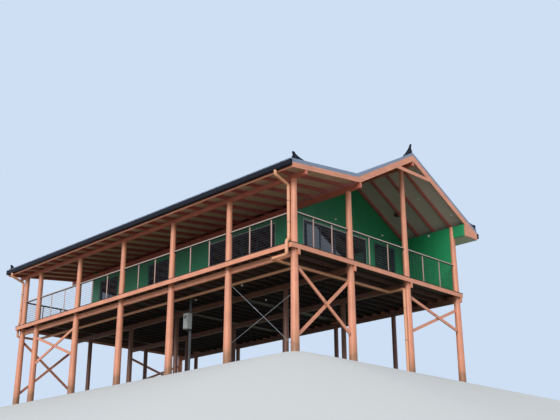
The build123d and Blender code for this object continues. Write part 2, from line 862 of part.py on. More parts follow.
slide_z = (leaf_z[0] + seat_gap, leaf_z[1] - door_clearance)
sliding_leaves = {
    "side_leaf_far": (side_sliding[0], side_inner),
    "side_leaf_near": (side_sliding[1], side_inner),
    "near_leaf_front": (near_sliding[0], near_inner),
    "near_leaf_back": (near_sliding[1], near_inner),
}
for name, (span, plane) in sliding_leaves.items():
    with BuildPart() as leaf:
        ring((span, slide_z), leaf_rail, leaf_thick, plane)
    leaf.part.label = name
    export_step(leaf.part, f"parts/{name}.step")
    with BuildPart() as leaf_glass:
        pane((span, slide_z), leaf_rail, glass, plane.offset(glass_inset))
    leaf_glass.part.label = f"{name}_glass"
    export_step(leaf_glass.part, f"parts/{name}_glass.step")
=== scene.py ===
import math

import bmesh
import bpy
from mathutils import Euler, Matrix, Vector


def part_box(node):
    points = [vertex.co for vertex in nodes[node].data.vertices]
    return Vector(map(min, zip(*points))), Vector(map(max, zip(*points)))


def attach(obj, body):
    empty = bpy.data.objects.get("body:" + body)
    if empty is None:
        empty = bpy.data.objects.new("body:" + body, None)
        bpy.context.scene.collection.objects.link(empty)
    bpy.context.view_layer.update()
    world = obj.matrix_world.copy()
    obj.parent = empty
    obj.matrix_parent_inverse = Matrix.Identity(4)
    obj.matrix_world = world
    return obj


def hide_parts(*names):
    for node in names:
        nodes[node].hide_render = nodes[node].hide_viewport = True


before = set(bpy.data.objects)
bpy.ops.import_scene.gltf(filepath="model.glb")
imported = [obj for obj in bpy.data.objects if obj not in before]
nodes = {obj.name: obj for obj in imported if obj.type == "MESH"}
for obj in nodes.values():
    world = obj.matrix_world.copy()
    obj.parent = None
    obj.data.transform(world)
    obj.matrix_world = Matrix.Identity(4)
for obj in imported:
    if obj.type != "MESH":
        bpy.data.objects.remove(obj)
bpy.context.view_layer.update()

scene = bpy.context.scene


def newPiece(name, data):
    piece = bpy.data.objects.new(name, data)
    scene.collection.objects.link(piece)
    return piece


# Camera: the photograph's place, 4.8 m below the feet of the poles and looking up
cameraSizes = {
    "place": (26.0156, -22.8361, -4.8204),
    "turn": 45.142,
    "rise": 19.995,
    "roll": -0.179,
    "lens": 56.97,
    "sensor": 36.0,
    "farthest": 400,
}


def makeCamera():
    data = bpy.data.cameras.new("camera")
    data.lens = cameraSizes["lens"]
    data.sensor_width = cameraSizes["sensor"]
    data.clip_end = cameraSizes["farthest"]
    camera = newPiece("camera", data)
    camera.location = cameraSizes["place"]
    camera.rotation_mode = "XYZ"
    angles = (90 + cameraSizes["rise"], 0, cameraSizes["turn"])
    turned = Euler([math.radians(a) for a in angles]).to_matrix()
    roll = Euler((0, 0, math.radians(cameraSizes["roll"]))).to_matrix()
    camera.rotation_euler = (turned @ roll).to_euler()
    scene.camera = camera


makeCamera()
print("camera placed")


# Node helpers, used by every material and every tree
def addNode(tree, kind, **settings):
    made = tree.nodes.new(kind)
    for key, value in settings.items():
        setattr(made, key, value)
    return made


def fill(tree, made, links):
    # Inputs take a value or a socket, and an input that joins takes a list of sockets
    for label, given in links.items():
        for value in given if isinstance(given, list) else [given]:
            if isinstance(value, bpy.types.NodeSocket):
                tree.links.new(value, made.inputs[label])
            else:
                made.inputs[label].default_value = value


def feed(tree, kind, links, out=0, **settings):
    made = addNode(tree, kind, **settings)
    fill(tree, made, links)
    return made.outputs[out]


def calc(tree, operation, *values):
    return feed(tree, "ShaderNodeMath", dict(enumerate(values)), operation=operation)


def share(tree, value, low, high):
    # How far a value lies from low to high, between 0 and 1
    links = {"Value": value, "From Min": low, "From Max": high}
    return feed(tree, "ShaderNodeMapRange", links, "Result")


def objectPoints(tree, scale=(1, 1, 1)):
    links = {"Vector": feed(tree, "ShaderNodeTexCoord", {}, "Object"), "Scale": scale}
    return feed(tree, "ShaderNodeMapping", links)


def coordinate(tree, axis):
    return feed(tree, "ShaderNodeSeparateXYZ", {0: objectPoints(tree)}, axis)


def noise(tree, scale, detail, roughness=0.6, stretch=(1, 1, 1)):
    links = {"Vector": objectPoints(tree, stretch), "Scale": scale}
    links.update({"Detail": detail, "Roughness": roughness})
    return feed(tree, "ShaderNodeTexNoise", links, "Fac")


def ramp(tree, factor, stops):
    # Each stop is a place with a colour, or with one number for a grey
    made = addNode(tree, "ShaderNodeValToRGB")
    fill(tree, made, {"Fac": factor})
    elements = made.color_ramp.elements
    while len(elements) < len(stops):
        elements.new(0.5)
    for element, (place, colour) in zip(elements, stops):
        element.position = place
        element.color = (*(colour if isinstance(colour, tuple) else (colour,) * 3), 1)
    return made.outputs["Color"]


def tint(tree, colour, factor, stops, amount=1.0):
    # Multiplies a colour by a ramp: a mix node takes colours at 6 and 7, and gives one at 2
    links = {0: amount, 6: colour, 7: ramp(tree, factor, stops)}
    return feed(tree, "ShaderNodeMix", links, 2, data_type="RGBA", blend_type="MULTIPLY")


def toneBoards(tree, colour, toned):
    tone = feed(tree, "ShaderNodeAttribute", {}, "Fac", attribute_name="tone")
    return tint(tree, colour, tone, [(0.0, 1 - toned), (1.0, 1 + toned)])


def bump(tree, shader, height, strength, distance):
    links = {"Strength": strength, "Distance": distance, "Height": height}
    fill(tree, shader, {"Normal": feed(tree, "ShaderNodeBump", links)})


def shade(colour, amount):
    return tuple(c * amount for c in colour)


def newMaterial(roughness, metallic=0.0, coat=0.0, coatRoughness=0.2):
    material = bpy.data.materials.new("finish")
    material.use_nodes = True
    tree = material.node_tree
    shader = tree.nodes["Principled BSDF"]
    fill(tree, shader, {"Roughness": roughness, "Metallic": metallic})
    fill(tree, shader, {"Coat Weight": coat, "Coat Roughness": coatRoughness})
    return material, tree, shader


# Where painted light and shade change across the house: painted shade darkens the timber under the
# floor, and painted light on the walls fades by their upper part
paintedLightAndShadePlaces = {
    "underShadeEnd": 8.0,
    "underShadeFront": (-4.2, -2.0),
    "wallLightZ": (4.7, 5.8),
}


# Stained timber: grain along one axis, with knots and patches of weather. Where asked it has
# soiled feet, painted shade on its inner part under the floor, painted shade on faces below, or
# boards of many tones
def stainedTimber(colour, along, roughness=0.5, patch=0.16, coat=0.2, soiled=False,
                  toned=0.0, inner=0.0, shadeFade=0.2, under=0.0):
    material, tree, shader = newMaterial(roughness, coat=coat, coatRoughness=0.45)
    fine = tuple(1.3 if axis == along else 26.0 for axis in "xyz")
    broad = tuple(1.6 if axis == along else 6.0 for axis in "xyz")
    grain = noise(tree, 1.0, 7.0, 0.65, fine)
    stops = [(0.3, shade(colour, 0.80)), (0.52, colour), (0.72, shade(colour, 1.12))]
    mixed = ramp(tree, grain, stops)
    patches = noise(tree, 1.7, 3.0)
    mixed = tint(tree, mixed, patches, [(0.32, 1 - patch), (0.6, 1.0), (0.78, 1 + patch * 0.4)])
    knots = noise(tree, 1.0, 2.0, 0.5, broad)
    mixed = tint(tree, mixed, knots, [(0.22, (0.62, 0.5, 0.45)), (0.30, 1.0)], 0.8)
    if soiled:
        edge = calc(tree, "MULTIPLY", patches, 0.8)
        uneven = calc(tree, "SUBTRACT", coordinate(tree, "Z"), edge)
        soil = [(0.0, (0.42, 0.50, 0.42)), (0.12, (0.74, 0.78, 0.70)), (0.45, 1.0)]
        mixed = tint(tree, mixed, uneven, soil, 0.85)
    # Painted shade: the timber darkens towards the middle of the house under the floor, away from
    # its ends and front
    if inner:
        side = calc(tree, "ABSOLUTE", coordinate(tree, "X"))
        end = paintedLightAndShadePlaces["underShadeEnd"]
        fromEnd = share(tree, side, end, end - shadeFade)
        fromFront = share(tree, coordinate(tree, "Y"), *paintedLightAndShadePlaces["underShadeFront"])
        both = calc(tree, "MULTIPLY", fromEnd, fromFront)
        mixed = tint(tree, mixed, both, [(0.0, 1.0), (1.0, inner)])
    # Painted shade: faces that look down are darker
    if under:
        normal = feed(tree, "ShaderNodeNewGeometry", {}, "True Normal")
        upward = feed(tree, "ShaderNodeSeparateXYZ", {0: normal}, "Z")
        mixed = tint(tree, mixed, share(tree, upward, -0.6, 0.2), [(0.0, under), (1.0, 1.0)])
    if toned:
        mixed = toneBoards(tree, mixed, toned)
    fill(tree, shader, {"Base Color": mixed})
    bump(tree, shader, grain, 0.35, 0.003)
    return material


# Paint on boards or sheet: faint mottling, fine speckle and rain streaks down the face
def flatPaint(colour, roughness=0.45, mottle=0.08, metallic=0.0, coat=0.0, streak=0.0,
              toned=0.0, laps=(), shine=0.5, upper=0.0):
    material, tree, shader = newMaterial(roughness, metallic, coat)
    speck = noise(tree, 60.0, 3.0)
    cloudy = [(0.3, shade(colour, 1 - mottle)), (0.7, shade(colour, 1 + mottle))]
    mixed = ramp(tree, noise(tree, 2.3, 5.0), cloudy)
    mixed = tint(tree, mixed, speck, [(0.35, 0.95), (0.65, 1.03)])
    if streak:
        runs = noise(tree, 1.0, 4.0, stretch=(14.0, 14.0, 0.7))
        mixed = tint(tree, mixed, runs, [(0.30, 1 - streak), (0.55, 1.0)])
    if upper:
        # Painted light: walls are brightest at their foot, where the deck throws light on them
        up = share(tree, coordinate(tree, "Z"), *paintedLightAndShadePlaces["wallLightZ"])
        mixed = tint(tree, mixed, up, [(0.0, 1.0), (1.0, upper)])
    for axis, size, line, change in laps:
        # Each sheet along an axis has a tone of its own and a darker joint at its edge
        sheets = calc(tree, "DIVIDE", coordinate(tree, axis), size)
        links = {"W": calc(tree, "FLOOR", sheets)}
        chance = feed(tree, "ShaderNodeTexWhiteNoise", links, "Value", noise_dimensions="1D")
        mixed = tint(tree, mixed, chance, [(0.0, 1 - change), (1.0, 1 + change * 0.7)])
        joint = [(0.0, 0.35), (line / size * 0.7, 0.45), (line / size, 1.0)]
        mixed = tint(tree, mixed, calc(tree, "FRACT", sheets), joint)
    if toned:
        mixed = toneBoards(tree, mixed, toned)
    fill(tree, shader, {"Base Color": mixed, "Specular IOR Level": shine})
    bump(tree, shader, speck, 0.12, 0.0008)
    return material


# Window glass: nearly black, with a slight ripple and faint dust
def clearGlass(colour):
    material, tree, shader = newMaterial(0.04, coat=1.0, coatRoughness=0.03)
    film = ramp(tree, noise(tree, 3.0, 4.0), [(0.35, colour), (0.8, shade(colour, 2.2))])
    fill(tree, shader, {"Alpha": 0.93, "IOR": 1.65, "Base Color": film})
    bump(tree, shader, noise(tree, 1.2, 1.0, 0.55), 0.04, 0.01)
    return material


salmon = (0.682, 0.272, 0.161)
# Painted shade: a darker, redder copy of the salmon stain, for the beams that stand in shade under
# the roof
shadedSalmon = (0.530, 0.146, 0.098)
wallSheets = {"streak": 0.06, "laps": (("X", 1.2, 0.006, 0.03), ("Y", 1.2, 0.006, 0.03))}
roofLaps = (("X", 0.762, 0.038, 0.12),)
finishes = {
    "poleTimber": stainedTimber(salmon, "z", soiled=True),
    "longTimber": stainedTimber(salmon, "x"),
    "crossTimber": stainedTimber(salmon, "y"),
    # Painted shade: the beams under the roof take the darker salmon
    "shadedBeamTimber": stainedTimber(shadedSalmon, "x"),
    # Painted shade: bearers and floor posts darken towards the middle under the floor
    "bearerTimber": stainedTimber(salmon, "x", inner=0.26),
    "postTimber": stainedTimber(salmon, "z", soiled=True, inner=0.26),
    # Painted shade: rafters darker than the frame's stain, standing in shade under the roof
    "shadedRafterTimber": stainedTimber((0.420, 0.104, 0.088), "y", 0.6),
    # Joists: a dark timber, with painted shade that darkens it further towards the middle under the
    # floor
    "underTimber": stainedTimber((0.130, 0.062, 0.048), "y", 0.7, 0.25, 0.0, inner=0.16, shadeFade=2.2),
    # Painted shade: the deck boards are darker on faces that look down
    "deckTimber": stainedTimber((0.098, 0.052, 0.036), "x", 0.6, 0.25, 0.1, toned=0.25, under=0.16),
    # Painted shade: the board edges on the rim are darker than the deck boards, as a shadow line
    # along the rim's top
    "shadedEdgeTimber": stainedTimber((0.040, 0.022, 0.016), "x", 0.7, 0.25, 0.0),
    # Painted shade: the room's floor boards are a little darker on faces that look down
    "floorTimber": stainedTimber(
        (0.330, 0.165, 0.075), "x", 0.35, 0.12, 0.3, toned=0.14, under=0.07),
    # Painted light: brighter than the plain green at the walls' foot, fading to about it higher up
    "greenPaintFootLit": flatPaint((0.034, 0.480, 0.190), 0.42, 0.07, upper=0.48, **wallSheets),
    "plainGreen": flatPaint((0.015, 0.255, 0.096), 0.42, 0.07, **wallSheets),
    "liningPaint": flatPaint((0.620, 0.405, 0.290), 0.6, 0.06, toned=0.05),
    "ceilingPaint": flatPaint((0.530, 0.470, 0.425), 0.6, 0.05),
    "soffitPaint": flatPaint((0.430, 0.480, 0.380), 0.6, 0.05),
    "roofSteel": flatPaint((0.215, 0.265, 0.365), 0.38, 0.05, 0.2, 0.2, streak=0.10),
    "sheetSteel": flatPaint((0.200, 0.250, 0.330), 0.36, 0.03, 0.2, 0.2, laps=roofLaps),
    "gutterSteel": flatPaint((0.007, 0.007, 0.014), 0.5, 0.10, shine=0.18),
    "railPaint": flatPaint((0.560, 0.400, 0.310), 0.28, 0.06, 0.6),
    "postPaint": flatPaint((0.430, 0.270, 0.230), 0.4, 0.08, 0.1),
    "galvanised": flatPaint((0.40, 0.41, 0.42), 0.38, 0.15, 0.9),
    "rodSteel": flatPaint((0.100, 0.105, 0.135), 0.35, 0.10, 0.3),
    # Painted shade: a near-black channel under the rail stands for the shade beneath it
    "channelShade": flatPaint((0.022, 0.018, 0.017), 0.45, 0.10, 0.2),
    "lampBrown": flatPaint((0.075, 0.022, 0.018), 0.4, 0.10, coat=0.3),
    "boltSteel": flatPaint((0.20, 0.17, 0.15), 0.5, 0.25, 0.7),
    "pipePaint": flatPaint((0.690, 0.330, 0.190), 0.42, 0.06),
    "meterPaint": flatPaint((0.360, 0.380, 0.380), 0.45, 0.06, streak=0.12),
    "conduitPaint": flatPaint((0.090, 0.095, 0.100), 0.5, 0.08),
    "paleAluminium": flatPaint((0.560, 0.580, 0.540), 0.35, 0.04, 0.1, 0.2),
    "charcoalAluminium": flatPaint((0.030, 0.036, 0.046), 0.35, 0.06, 0.3, 0.2),
    "lampGlass": flatPaint((0.700, 0.700, 0.660), 0.25, 0.03, coat=0.5),
    "darkGlass": clearGlass((0.004, 0.005, 0.008)),
}

leafNames = ("side_leaf_far", "side_leaf_near", "near_leaf_front", "near_leaf_back")
nodeFinishes = {
    "poleTimber": ("front_poles", "gable_poles"),
    "postTimber": ("floor_posts",),
    "bearerTimber": ("bearers",),
    "underTimber": ("joists",),
    "longTimber": ("deck_rim", "fascias"),
    "crossTimber": ("bargeboards", "gable_ties", "falling_braces", "rising_braces"),
    "deckTimber": ("house_floor", "veranda_deck"),
    "shadedBeamTimber": ("roof_beams",),
    "shadedRafterTimber": ("veranda_rafters", "main_rafters"),
    "greenPaintFootLit": ("side_wall", "near_wall", "door_heads", "near_gable"),
    "plainGreen": ("far_wall", "back_wall", "wing_wall"),
    "liningPaint": ("veranda_ceiling",),
    "ceilingPaint": ("main_ceiling",),
    "soffitPaint": ("eave_soffit",),
    "roofSteel": ("veranda_roof", "main_roof", "barge_caps", "ridge_cap"),
    "gutterSteel": ("gutters", "finials"),
    "railPaint": ("front_railing", "end_railings"),
    "galvanised": ("tie_rods",),
    "pipePaint": ("near_rain_pipe", "far_rain_pipe"),
    "meterPaint": ("meter_box",),
    "charcoalAluminium": ("door_frames", "fixed_leaves", "window_frames", *leafNames),
    "darkGlass": ("fixed_glass", *(leafName + "_glass" for leafName in leafNames)),
}


def paintNodes():
    for name, material in finishes.items():
        material.name = name
    for finish, names in nodeFinishes.items():
        for name in names:
            nodes[name].data.materials.clear()
            nodes[name].data.materials.append(finishes[finish])


paintNodes()
print("materials made:", len(finishes))


# Places that several pieces share, in metres
house = {
    "rows": (-4.375, -1.775, 1.2, 4.175),
    "poleXs": (8.075, 5.075, 2.075, -0.925, -3.925, -6.925, -8.075),
    "gableXs": (8.075, -8.075),
    "poleFoot": 0.135,
    "poleTaper": 0.0072,
    "deckTop": 3.42,
    "room": ((-6.975, 5.675), (-1.825, 4.225)),
    "lowPitch": math.radians(6.8),
    "mainPitch": math.radians(29),
    "seat": 5.72,
    "verge": 8.635,
    "eave": 5.0,
    "lining": (0.120, 0.136),
    "skin": 0.216,
    "capTop": 0.291,
}
rows, poleXs, gableXs, deckTop = (house[key] for key in ("rows", "poleXs", "gableXs", "deckTop"))
lowPitch, mainPitch = house["lowPitch"], house["mainPitch"]
polePlaces = [(x, rows[0]) for x in poleXs] + [(x, y) for x in gableXs for y in rows[1:]]

# Each wall's outer face: the axis it stands on, where, and the way it looks
(farFace, nearFace), (sideFace, backFace) = house["room"]
walls = {
    "side": ("y", sideFace, -1),
    "back": ("y", backFace, 1),
    "near": ("x", nearFace, 1),
    "far": ("x", farFace, -1),
}


def poleRadius(z):
    return house["poleFoot"] - house["poleTaper"] * z


def lowLine(y):
    return house["seat"] + (y - rows[0]) * math.tan(lowPitch)


def frontLine(y):
    return lowLine(rows[1]) + (y - rows[1]) * math.tan(mainPitch)


def backLine(y):
    return frontLine(rows[2]) - (y - rows[2]) * math.tan(mainPitch)


# The three roof slopes: their line, pitch with sign, and reach from low y to high y
slopes = {
    "low": (lowLine, lowPitch, -house["eave"], rows[1]),
    "front": (frontLine, mainPitch, rows[1], rows[2]),
    "back": (backLine, -mainPitch, rows[2], house["eave"]),
}


# Edges that turn by more than this, in radians, are rounded
sharpAngle = 0.7


# Finishing a piece: material, smooth sides and its body
def settle(piece, finish=None, body="house", smooth=35.0):
    if finish:
        piece.data.materials.clear()
        piece.data.materials.append(finishes[finish])
    if smooth:
        piece.data.shade_smooth()
        piece.data.set_sharp_from_angle(angle=math.radians(smooth))
    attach(piece, body)
    return piece


def solid(name, shape, finish, bevel=0.0, steps=2, smooth=40.0, body="house"):
    # Makes a settled piece of a bmesh, with its sharper edges rounded where bevel is given
    bmesh.ops.recalc_face_normals(shape, faces=shape.faces)
    if bevel:
        between = [e for e in shape.edges if len(e.link_faces) == 2]
        edges = [e for e in between if e.calc_face_angle() > sharpAngle]
        rounding = {"offset": bevel, "segments": steps, "affect": "EDGES", "clamp_overlap": True}
        bmesh.ops.bevel(shape, geom=edges, **rounding)
    mesh = bpy.data.meshes.new(name)
    shape.to_mesh(mesh)
    shape.free()
    return settle(newPiece(name, mesh), finish, body, smooth)


def addBlock(shape, low, high):
    xs, ys, zs = zip(low, high)
    corners = [shape.verts.new((x, y, z)) for x in xs for y in ys for z in zs]
    sides = ((0, 1, 3, 2), (4, 6, 7, 5), (0, 4, 5, 1), (2, 3, 7, 6), (0, 2, 6, 4), (1, 5, 7, 3))
    for side in sides:
        shape.faces.new([corners[i] for i in side])


def wallBlock(shape, wall, span, z, deep):
    # A block on a wall: deep gives its two distances out from the face
    axis, face, out = wall
    low, high = sorted(face + out * d for d in deep)
    if axis == "y":
        addBlock(shape, (span[0], low, z[0]), (span[1], high, z[1]))
    else:
        addBlock(shape, (low, span[0], z[0]), (high, span[1], z[1]))


def addPrism(shape, outline, start, end):
    # A closed outline of y and z, carried along X
    first = [shape.verts.new((start, *point)) for point in outline]
    last = [shape.verts.new((end, *point)) for point in outline]
    shape.faces.new(first[::-1])
    shape.faces.new(last)
    for i in range(len(outline)):
        j = (i + 1) % len(outline)
        shape.faces.new((first[i], first[j], last[j], last[i]))


def arc(centre, radius, start, end, steps):
    angles = [math.radians(start + (end - start) * i / steps) for i in range(steps + 1)]
    return [(centre[0] + radius * math.cos(a), centre[1] + radius * math.sin(a)) for a in angles]


def joined(name, pieces):
    shape = bmesh.new()
    materials = pieces[0].data.materials[:]
    for piece in pieces:
        shape.from_mesh(piece.data)
        bpy.data.objects.remove(piece)
    mesh = bpy.data.meshes.new(name)
    shape.to_mesh(mesh)
    shape.free()
    for material in materials:
        mesh.materials.append(material)
    return newPiece(name, mesh)


# Geometry Nodes trees, each with named inputs for its sizes. A few sizes are the trees' own
treeSizes = {"washerSides": 12, "drillSides": 32, "drillDepth": 0.3, "weld": 0.00005}


def startTree(name, inputs):
    tree = bpy.data.node_groups.new(name, "GeometryNodeTree")
    tree.interface.new_socket("Shape", in_out="OUTPUT", socket_type="NodeSocketGeometry")
    for kind, labels in {"Geometry": ["Seed shape"], **inputs, "Material": ["Finish"]}.items():
        for label in labels:
            tree.interface.new_socket(label, in_out="INPUT", socket_type="NodeSocket" + kind)
    return tree, addNode(tree, "NodeGroupInput").outputs


def endTree(tree, shape, finish):
    real = feed(tree, "GeometryNodeRealizeInstances", {"Geometry": shape})
    painted = feed(tree, "GeometryNodeSetMaterial", {"Geometry": real, "Material": finish})
    fill(tree, addNode(tree, "NodeGroupOutput"), {0: painted})
    return tree


def vector(tree, **parts):
    return feed(tree, "ShaderNodeCombineXYZ", parts)


def grow(name, tree, finish, values, seedMesh=None):
    # Runs a tree on a seed mesh and keeps the result as a plain mesh
    maker = newPiece(name + "Maker", seedMesh or bpy.data.meshes.new(name + "Seed"))
    modifier = maker.modifiers.new("tree", "NODES")
    modifier.node_group = tree
    wanted = {**values, "Finish": finishes[finish]}
    for item in tree.interface.items_tree:
        if item.in_out == "INPUT" and item.name in wanted:
            modifier[item.identifier] = wanted[item.name]
    ready = maker.evaluated_get(bpy.context.evaluated_depsgraph_get())
    mesh = bpy.data.meshes.new_from_object(ready)
    bpy.data.objects.remove(maker)
    return newPiece(name, mesh)


def makeBarTree():
    # Round bars along the lines of the seed mesh
    tree, given = startTree("roundBars", {"Float": ["Radius"], "Int": ["Sides"]})
    curve = feed(tree, "GeometryNodeMeshToCurve", {"Mesh": given["Seed shape"]})
    links = {"Resolution": given["Sides"], "Radius": given["Radius"]}
    ring = feed(tree, "GeometryNodeCurvePrimitiveCircle", links)
    links = {"Curve": curve, "Profile Curve": ring, "Fill Caps": True}
    return endTree(tree, feed(tree, "GeometryNodeCurveToMesh", links), given["Finish"])


# What a bolt's sizes are, in the order in which each piece gives them
boltInputs = ("Head radius", "Head height", "Head sides", "Taper", "Washer radius", "Washer height")


def makeBoltTree():
    # A head on a washer at every point of the seed mesh, facing its own way
    floats = [label for label in boltInputs if label != "Head sides"]
    tree, given = startTree("bolts", {"Float": floats, "Int": ["Head sides"]})
    wide, high = given["Washer radius"], given["Washer height"]
    links = {"Radius Top": wide, "Radius Bottom": wide}
    links.update({"Vertices": treeSizes["washerSides"], "Depth": high})
    washer = feed(tree, "GeometryNodeMeshCone", links)
    small = calc(tree, "MULTIPLY", given["Head radius"], given["Taper"])
    links = {"Radius Top": small, "Radius Bottom": given["Head radius"]}
    links.update({"Vertices": given["Head sides"], "Depth": given["Head height"]})
    head = feed(tree, "GeometryNodeMeshCone", links)
    links = {"Geometry": head, "Translation": vector(tree, Z=high)}
    raised = feed(tree, "GeometryNodeTransform", links)
    both = feed(tree, "GeometryNodeJoinGeometry", {0: [washer, raised]})
    links = {"Name": "facing"}
    facing = feed(tree, "GeometryNodeInputNamedAttribute", links, data_type="FLOAT_VECTOR")
    turn = feed(tree, "FunctionNodeAlignRotationToVector", {"Vector": facing}, axis="Z")
    links = {"Points": given["Seed shape"], "Instance": both, "Rotation": turn}
    return endTree(tree, feed(tree, "GeometryNodeInstanceOnPoints", links), given["Finish"])


def makeBoardTree(holed):
    # Rows of boards, each with a tone of its own; round holes at the seed points where asked
    inputs = {"Vector": ["Start", "Step", "Board"], "Int": ["Count", "Seed"]}
    inputs["Float"] = ["Slope", "Hole radius"]
    tree, given = startTree("holedBoards" if holed else "boards", inputs)
    links = {"Count": given["Count"], "Start Location": given["Start"], "Offset": given["Step"]}
    row = feed(tree, "GeometryNodeMeshLine", links, mode="OFFSET")
    board = feed(tree, "GeometryNodeMeshCube", {"Size": given["Board"]})
    turn = feed(tree, "FunctionNodeEulerToRotation", {"Euler": vector(tree, X=given["Slope"])})
    links = {"Points": row, "Instance": board, "Rotation": turn}
    laid = feed(tree, "GeometryNodeInstanceOnPoints", links)
    tone = feed(tree, "FunctionNodeRandomValue", {"Seed": given["Seed"]}, 1, data_type="FLOAT")
    links = {"Geometry": laid, "Name": "tone", "Value": tone}
    kinds = {"data_type": "FLOAT", "domain": "INSTANCE"}
    boards = feed(tree, "GeometryNodeStoreNamedAttribute", links, **kinds)
    if holed:
        real = feed(tree, "GeometryNodeRealizeInstances", {"Geometry": boards})
        links = {"Vertices": treeSizes["drillSides"], "Depth": treeSizes["drillDepth"]}
        links["Radius"] = given["Hole radius"]
        drill = feed(tree, "GeometryNodeMeshCylinder", links)
        links = {"Points": given["Seed shape"], "Instance": drill}
        drills = feed(tree, "GeometryNodeInstanceOnPoints", links)
        cutters = feed(tree, "GeometryNodeRealizeInstances", {"Geometry": drills})
        links = {"Mesh 1": real, "Mesh 2": cutters}
        kinds = {"operation": "DIFFERENCE", "solver": "EXACT"}
        boards = feed(tree, "GeometryNodeMeshBoolean", links, **kinds)
    return endTree(tree, boards, given["Finish"])


def makeSheetTree():
    # A closed corrugated sheet, tilted and put in its place
    inputs = {"Float": ["Across", "Down", "Pitch", "Depth", "Thickness", "Slope"]}
    inputs.update({"Int": ["Columns"], "Vector": ["Centre"]})
    tree, given = startTree("corrugatedSheet", inputs)
    links = {"Size X": given["Across"], "Size Y": given["Down"]}
    links.update({"Vertices X": given["Columns"], "Vertices Y": 2})
    flat = feed(tree, "GeometryNodeMeshGrid", links)
    x = feed(tree, "ShaderNodeSeparateXYZ", {0: feed(tree, "GeometryNodeInputPosition", {})}, "X")
    turns = calc(tree, "DIVIDE", x, given["Pitch"])
    wave = calc(tree, "SINE", calc(tree, "MULTIPLY", turns, math.tau))
    rise = calc(tree, "MULTIPLY", wave, calc(tree, "MULTIPLY", given["Depth"], 0.5))
    wavy = feed(tree, "GeometryNodeSetPosition", {"Geometry": flat, "Offset": vector(tree, Z=rise)})
    links = {"Mesh": wavy, "Offset": vector(tree, Z=1.0), "Offset Scale": given["Thickness"]}
    top = feed(tree, "GeometryNodeExtrudeMesh", {**links, "Individual": False}, mode="FACES")
    under = feed(tree, "GeometryNodeFlipFaces", {"Mesh": wavy})
    both = feed(tree, "GeometryNodeJoinGeometry", {0: [top, under]})
    links = {"Geometry": both, "Distance": treeSizes["weld"]}
    closed = feed(tree, "GeometryNodeMergeByDistance", links)
    links = {"Translation": given["Centre"], "Rotation": vector(tree, X=given["Slope"])}
    laid = feed(tree, "GeometryNodeTransform", {"Geometry": closed, **links})
    return endTree(tree, laid, given["Finish"])


barTree = makeBarTree()
boltTree = makeBoltTree()
boardTree = makeBoardTree(False)
holedTree = makeBoardTree(True)
sheetTree = makeSheetTree()


def barPiece(name, lines, finish, slot, radius, sides, smooth=35.0, body="house"):
    points, edges = [], []
    for line in lines:
        edges += [(len(points) + i, len(points) + i + 1) for i in range(len(line) - 1)]
        points += line
    mesh = bpy.data.meshes.new("lines")
    mesh.from_pydata(points, edges, [])
    piece = grow(name, barTree, finish, {"Radius": radius, "Sides": sides}, mesh)
    return settle(piece, body=body, smooth=smooth)


def pointSeed(spots):
    # Each spot is a place and the way that the thing on it faces
    places, ways = zip(*spots)
    mesh = bpy.data.meshes.new("spots")
    mesh.from_pydata(places, [], [])
    facing = mesh.attributes.new("facing", "FLOAT_VECTOR", "POINT")
    facing.data.foreach_set("vector", [part for way in ways for part in way])
    return mesh


def boltPiece(name, spots, finish, sizes):
    values = dict(zip(boltInputs, sizes))
    return settle(grow(name, boltTree, finish, values, pointSeed(spots)), smooth=0)


print("geometry trees made")


# Deck boards run along the long front, with open joints and round holes at the poles
deckSizes = {
    "width": 0.088,
    "gap": 0.006,
    "roomGap": 0.0012,
    "thick": 0.0245,
    "sunk": 0.0002,
    "ends": (-8.19, 8.21),
    "sides": (-4.62, 4.30),
    "joints": ((-4.615, 0.785, 4.835), (-6.415, -2.815, 2.585)),
    "shortest": 0.3,
    "endGap": 0.004,
    "holeGap": 0.005,
}


def layBoards(name, finish, ends, sides, gap, holes=None):
    pieces = []
    step = deckSizes["width"] + gap
    count = round((sides[1] - sides[0]) / step)
    step = (sides[1] - sides[0]) / count
    z = deckTop - deckSizes["thick"] / 2 - deckSizes["sunk"]
    first, last = ends[0] + deckSizes["shortest"], ends[1] - deckSizes["shortest"]
    for parity, joints in enumerate(deckSizes["joints"]):
        stops = [ends[0]] + [j for j in joints if first < j < last] + [ends[1]]
        for low, high in zip(stops, stops[1:]):
            values = {
                "Start": ((low + high) / 2, sides[0] + (parity + 0.5) * step, z),
                "Step": (0.0, 2 * step, 0.0),
                "Count": (count + 1 - parity) // 2,
                "Board": (high - low - deckSizes["endGap"], step - gap, deckSizes["thick"]),
                "Seed": len(pieces) + round(sides[0] * 10),
                "Hole radius": poleRadius(deckTop) + deckSizes["holeGap"],
            }
            tree = holedTree if holes else boardTree
            pieces.append(grow(name, tree, finish, values, holes and holes.copy()))
    return pieces


def makeDeck():
    holes = pointSeed([((x, y, deckTop), (0, 0, 1)) for x, y in polePlaces])
    (roomX, roomY), ends, sides = house["room"], deckSizes["ends"], deckSizes["sides"]
    parts = (
        (ends, (sides[0], roomY[0]), holes),
        ((roomX[1], ends[1]), roomY, holes),
        ((ends[0], roomX[0]), roomY, holes),
        (ends, (roomY[1], sides[1]), None),
    )
    deck = []
    for along, across, drilled in parts:
        deck += layBoards("deck", "deckTimber", along, across, deckSizes["gap"], drilled)
    deckBoards = settle(joined("deck_boards", deck), smooth=0)
    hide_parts("veranda_deck")
    room = layBoards("room", "floorTimber", roomX, roomY, deckSizes["roomGap"])
    roomBoards = settle(joined("room_boards", room), smooth=0)
    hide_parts("house_floor")


makeDeck()
print("deck boards laid")


# Nosing: the board edges that lie on the rim all round, painted darker than the deck boards as a
# shadow line along the rim's top
nosingSizes = {"z": (3.4203, 3.438), "wide": 0.060, "x": (-8.237, 8.257), "y": (-4.667, 4.347)}


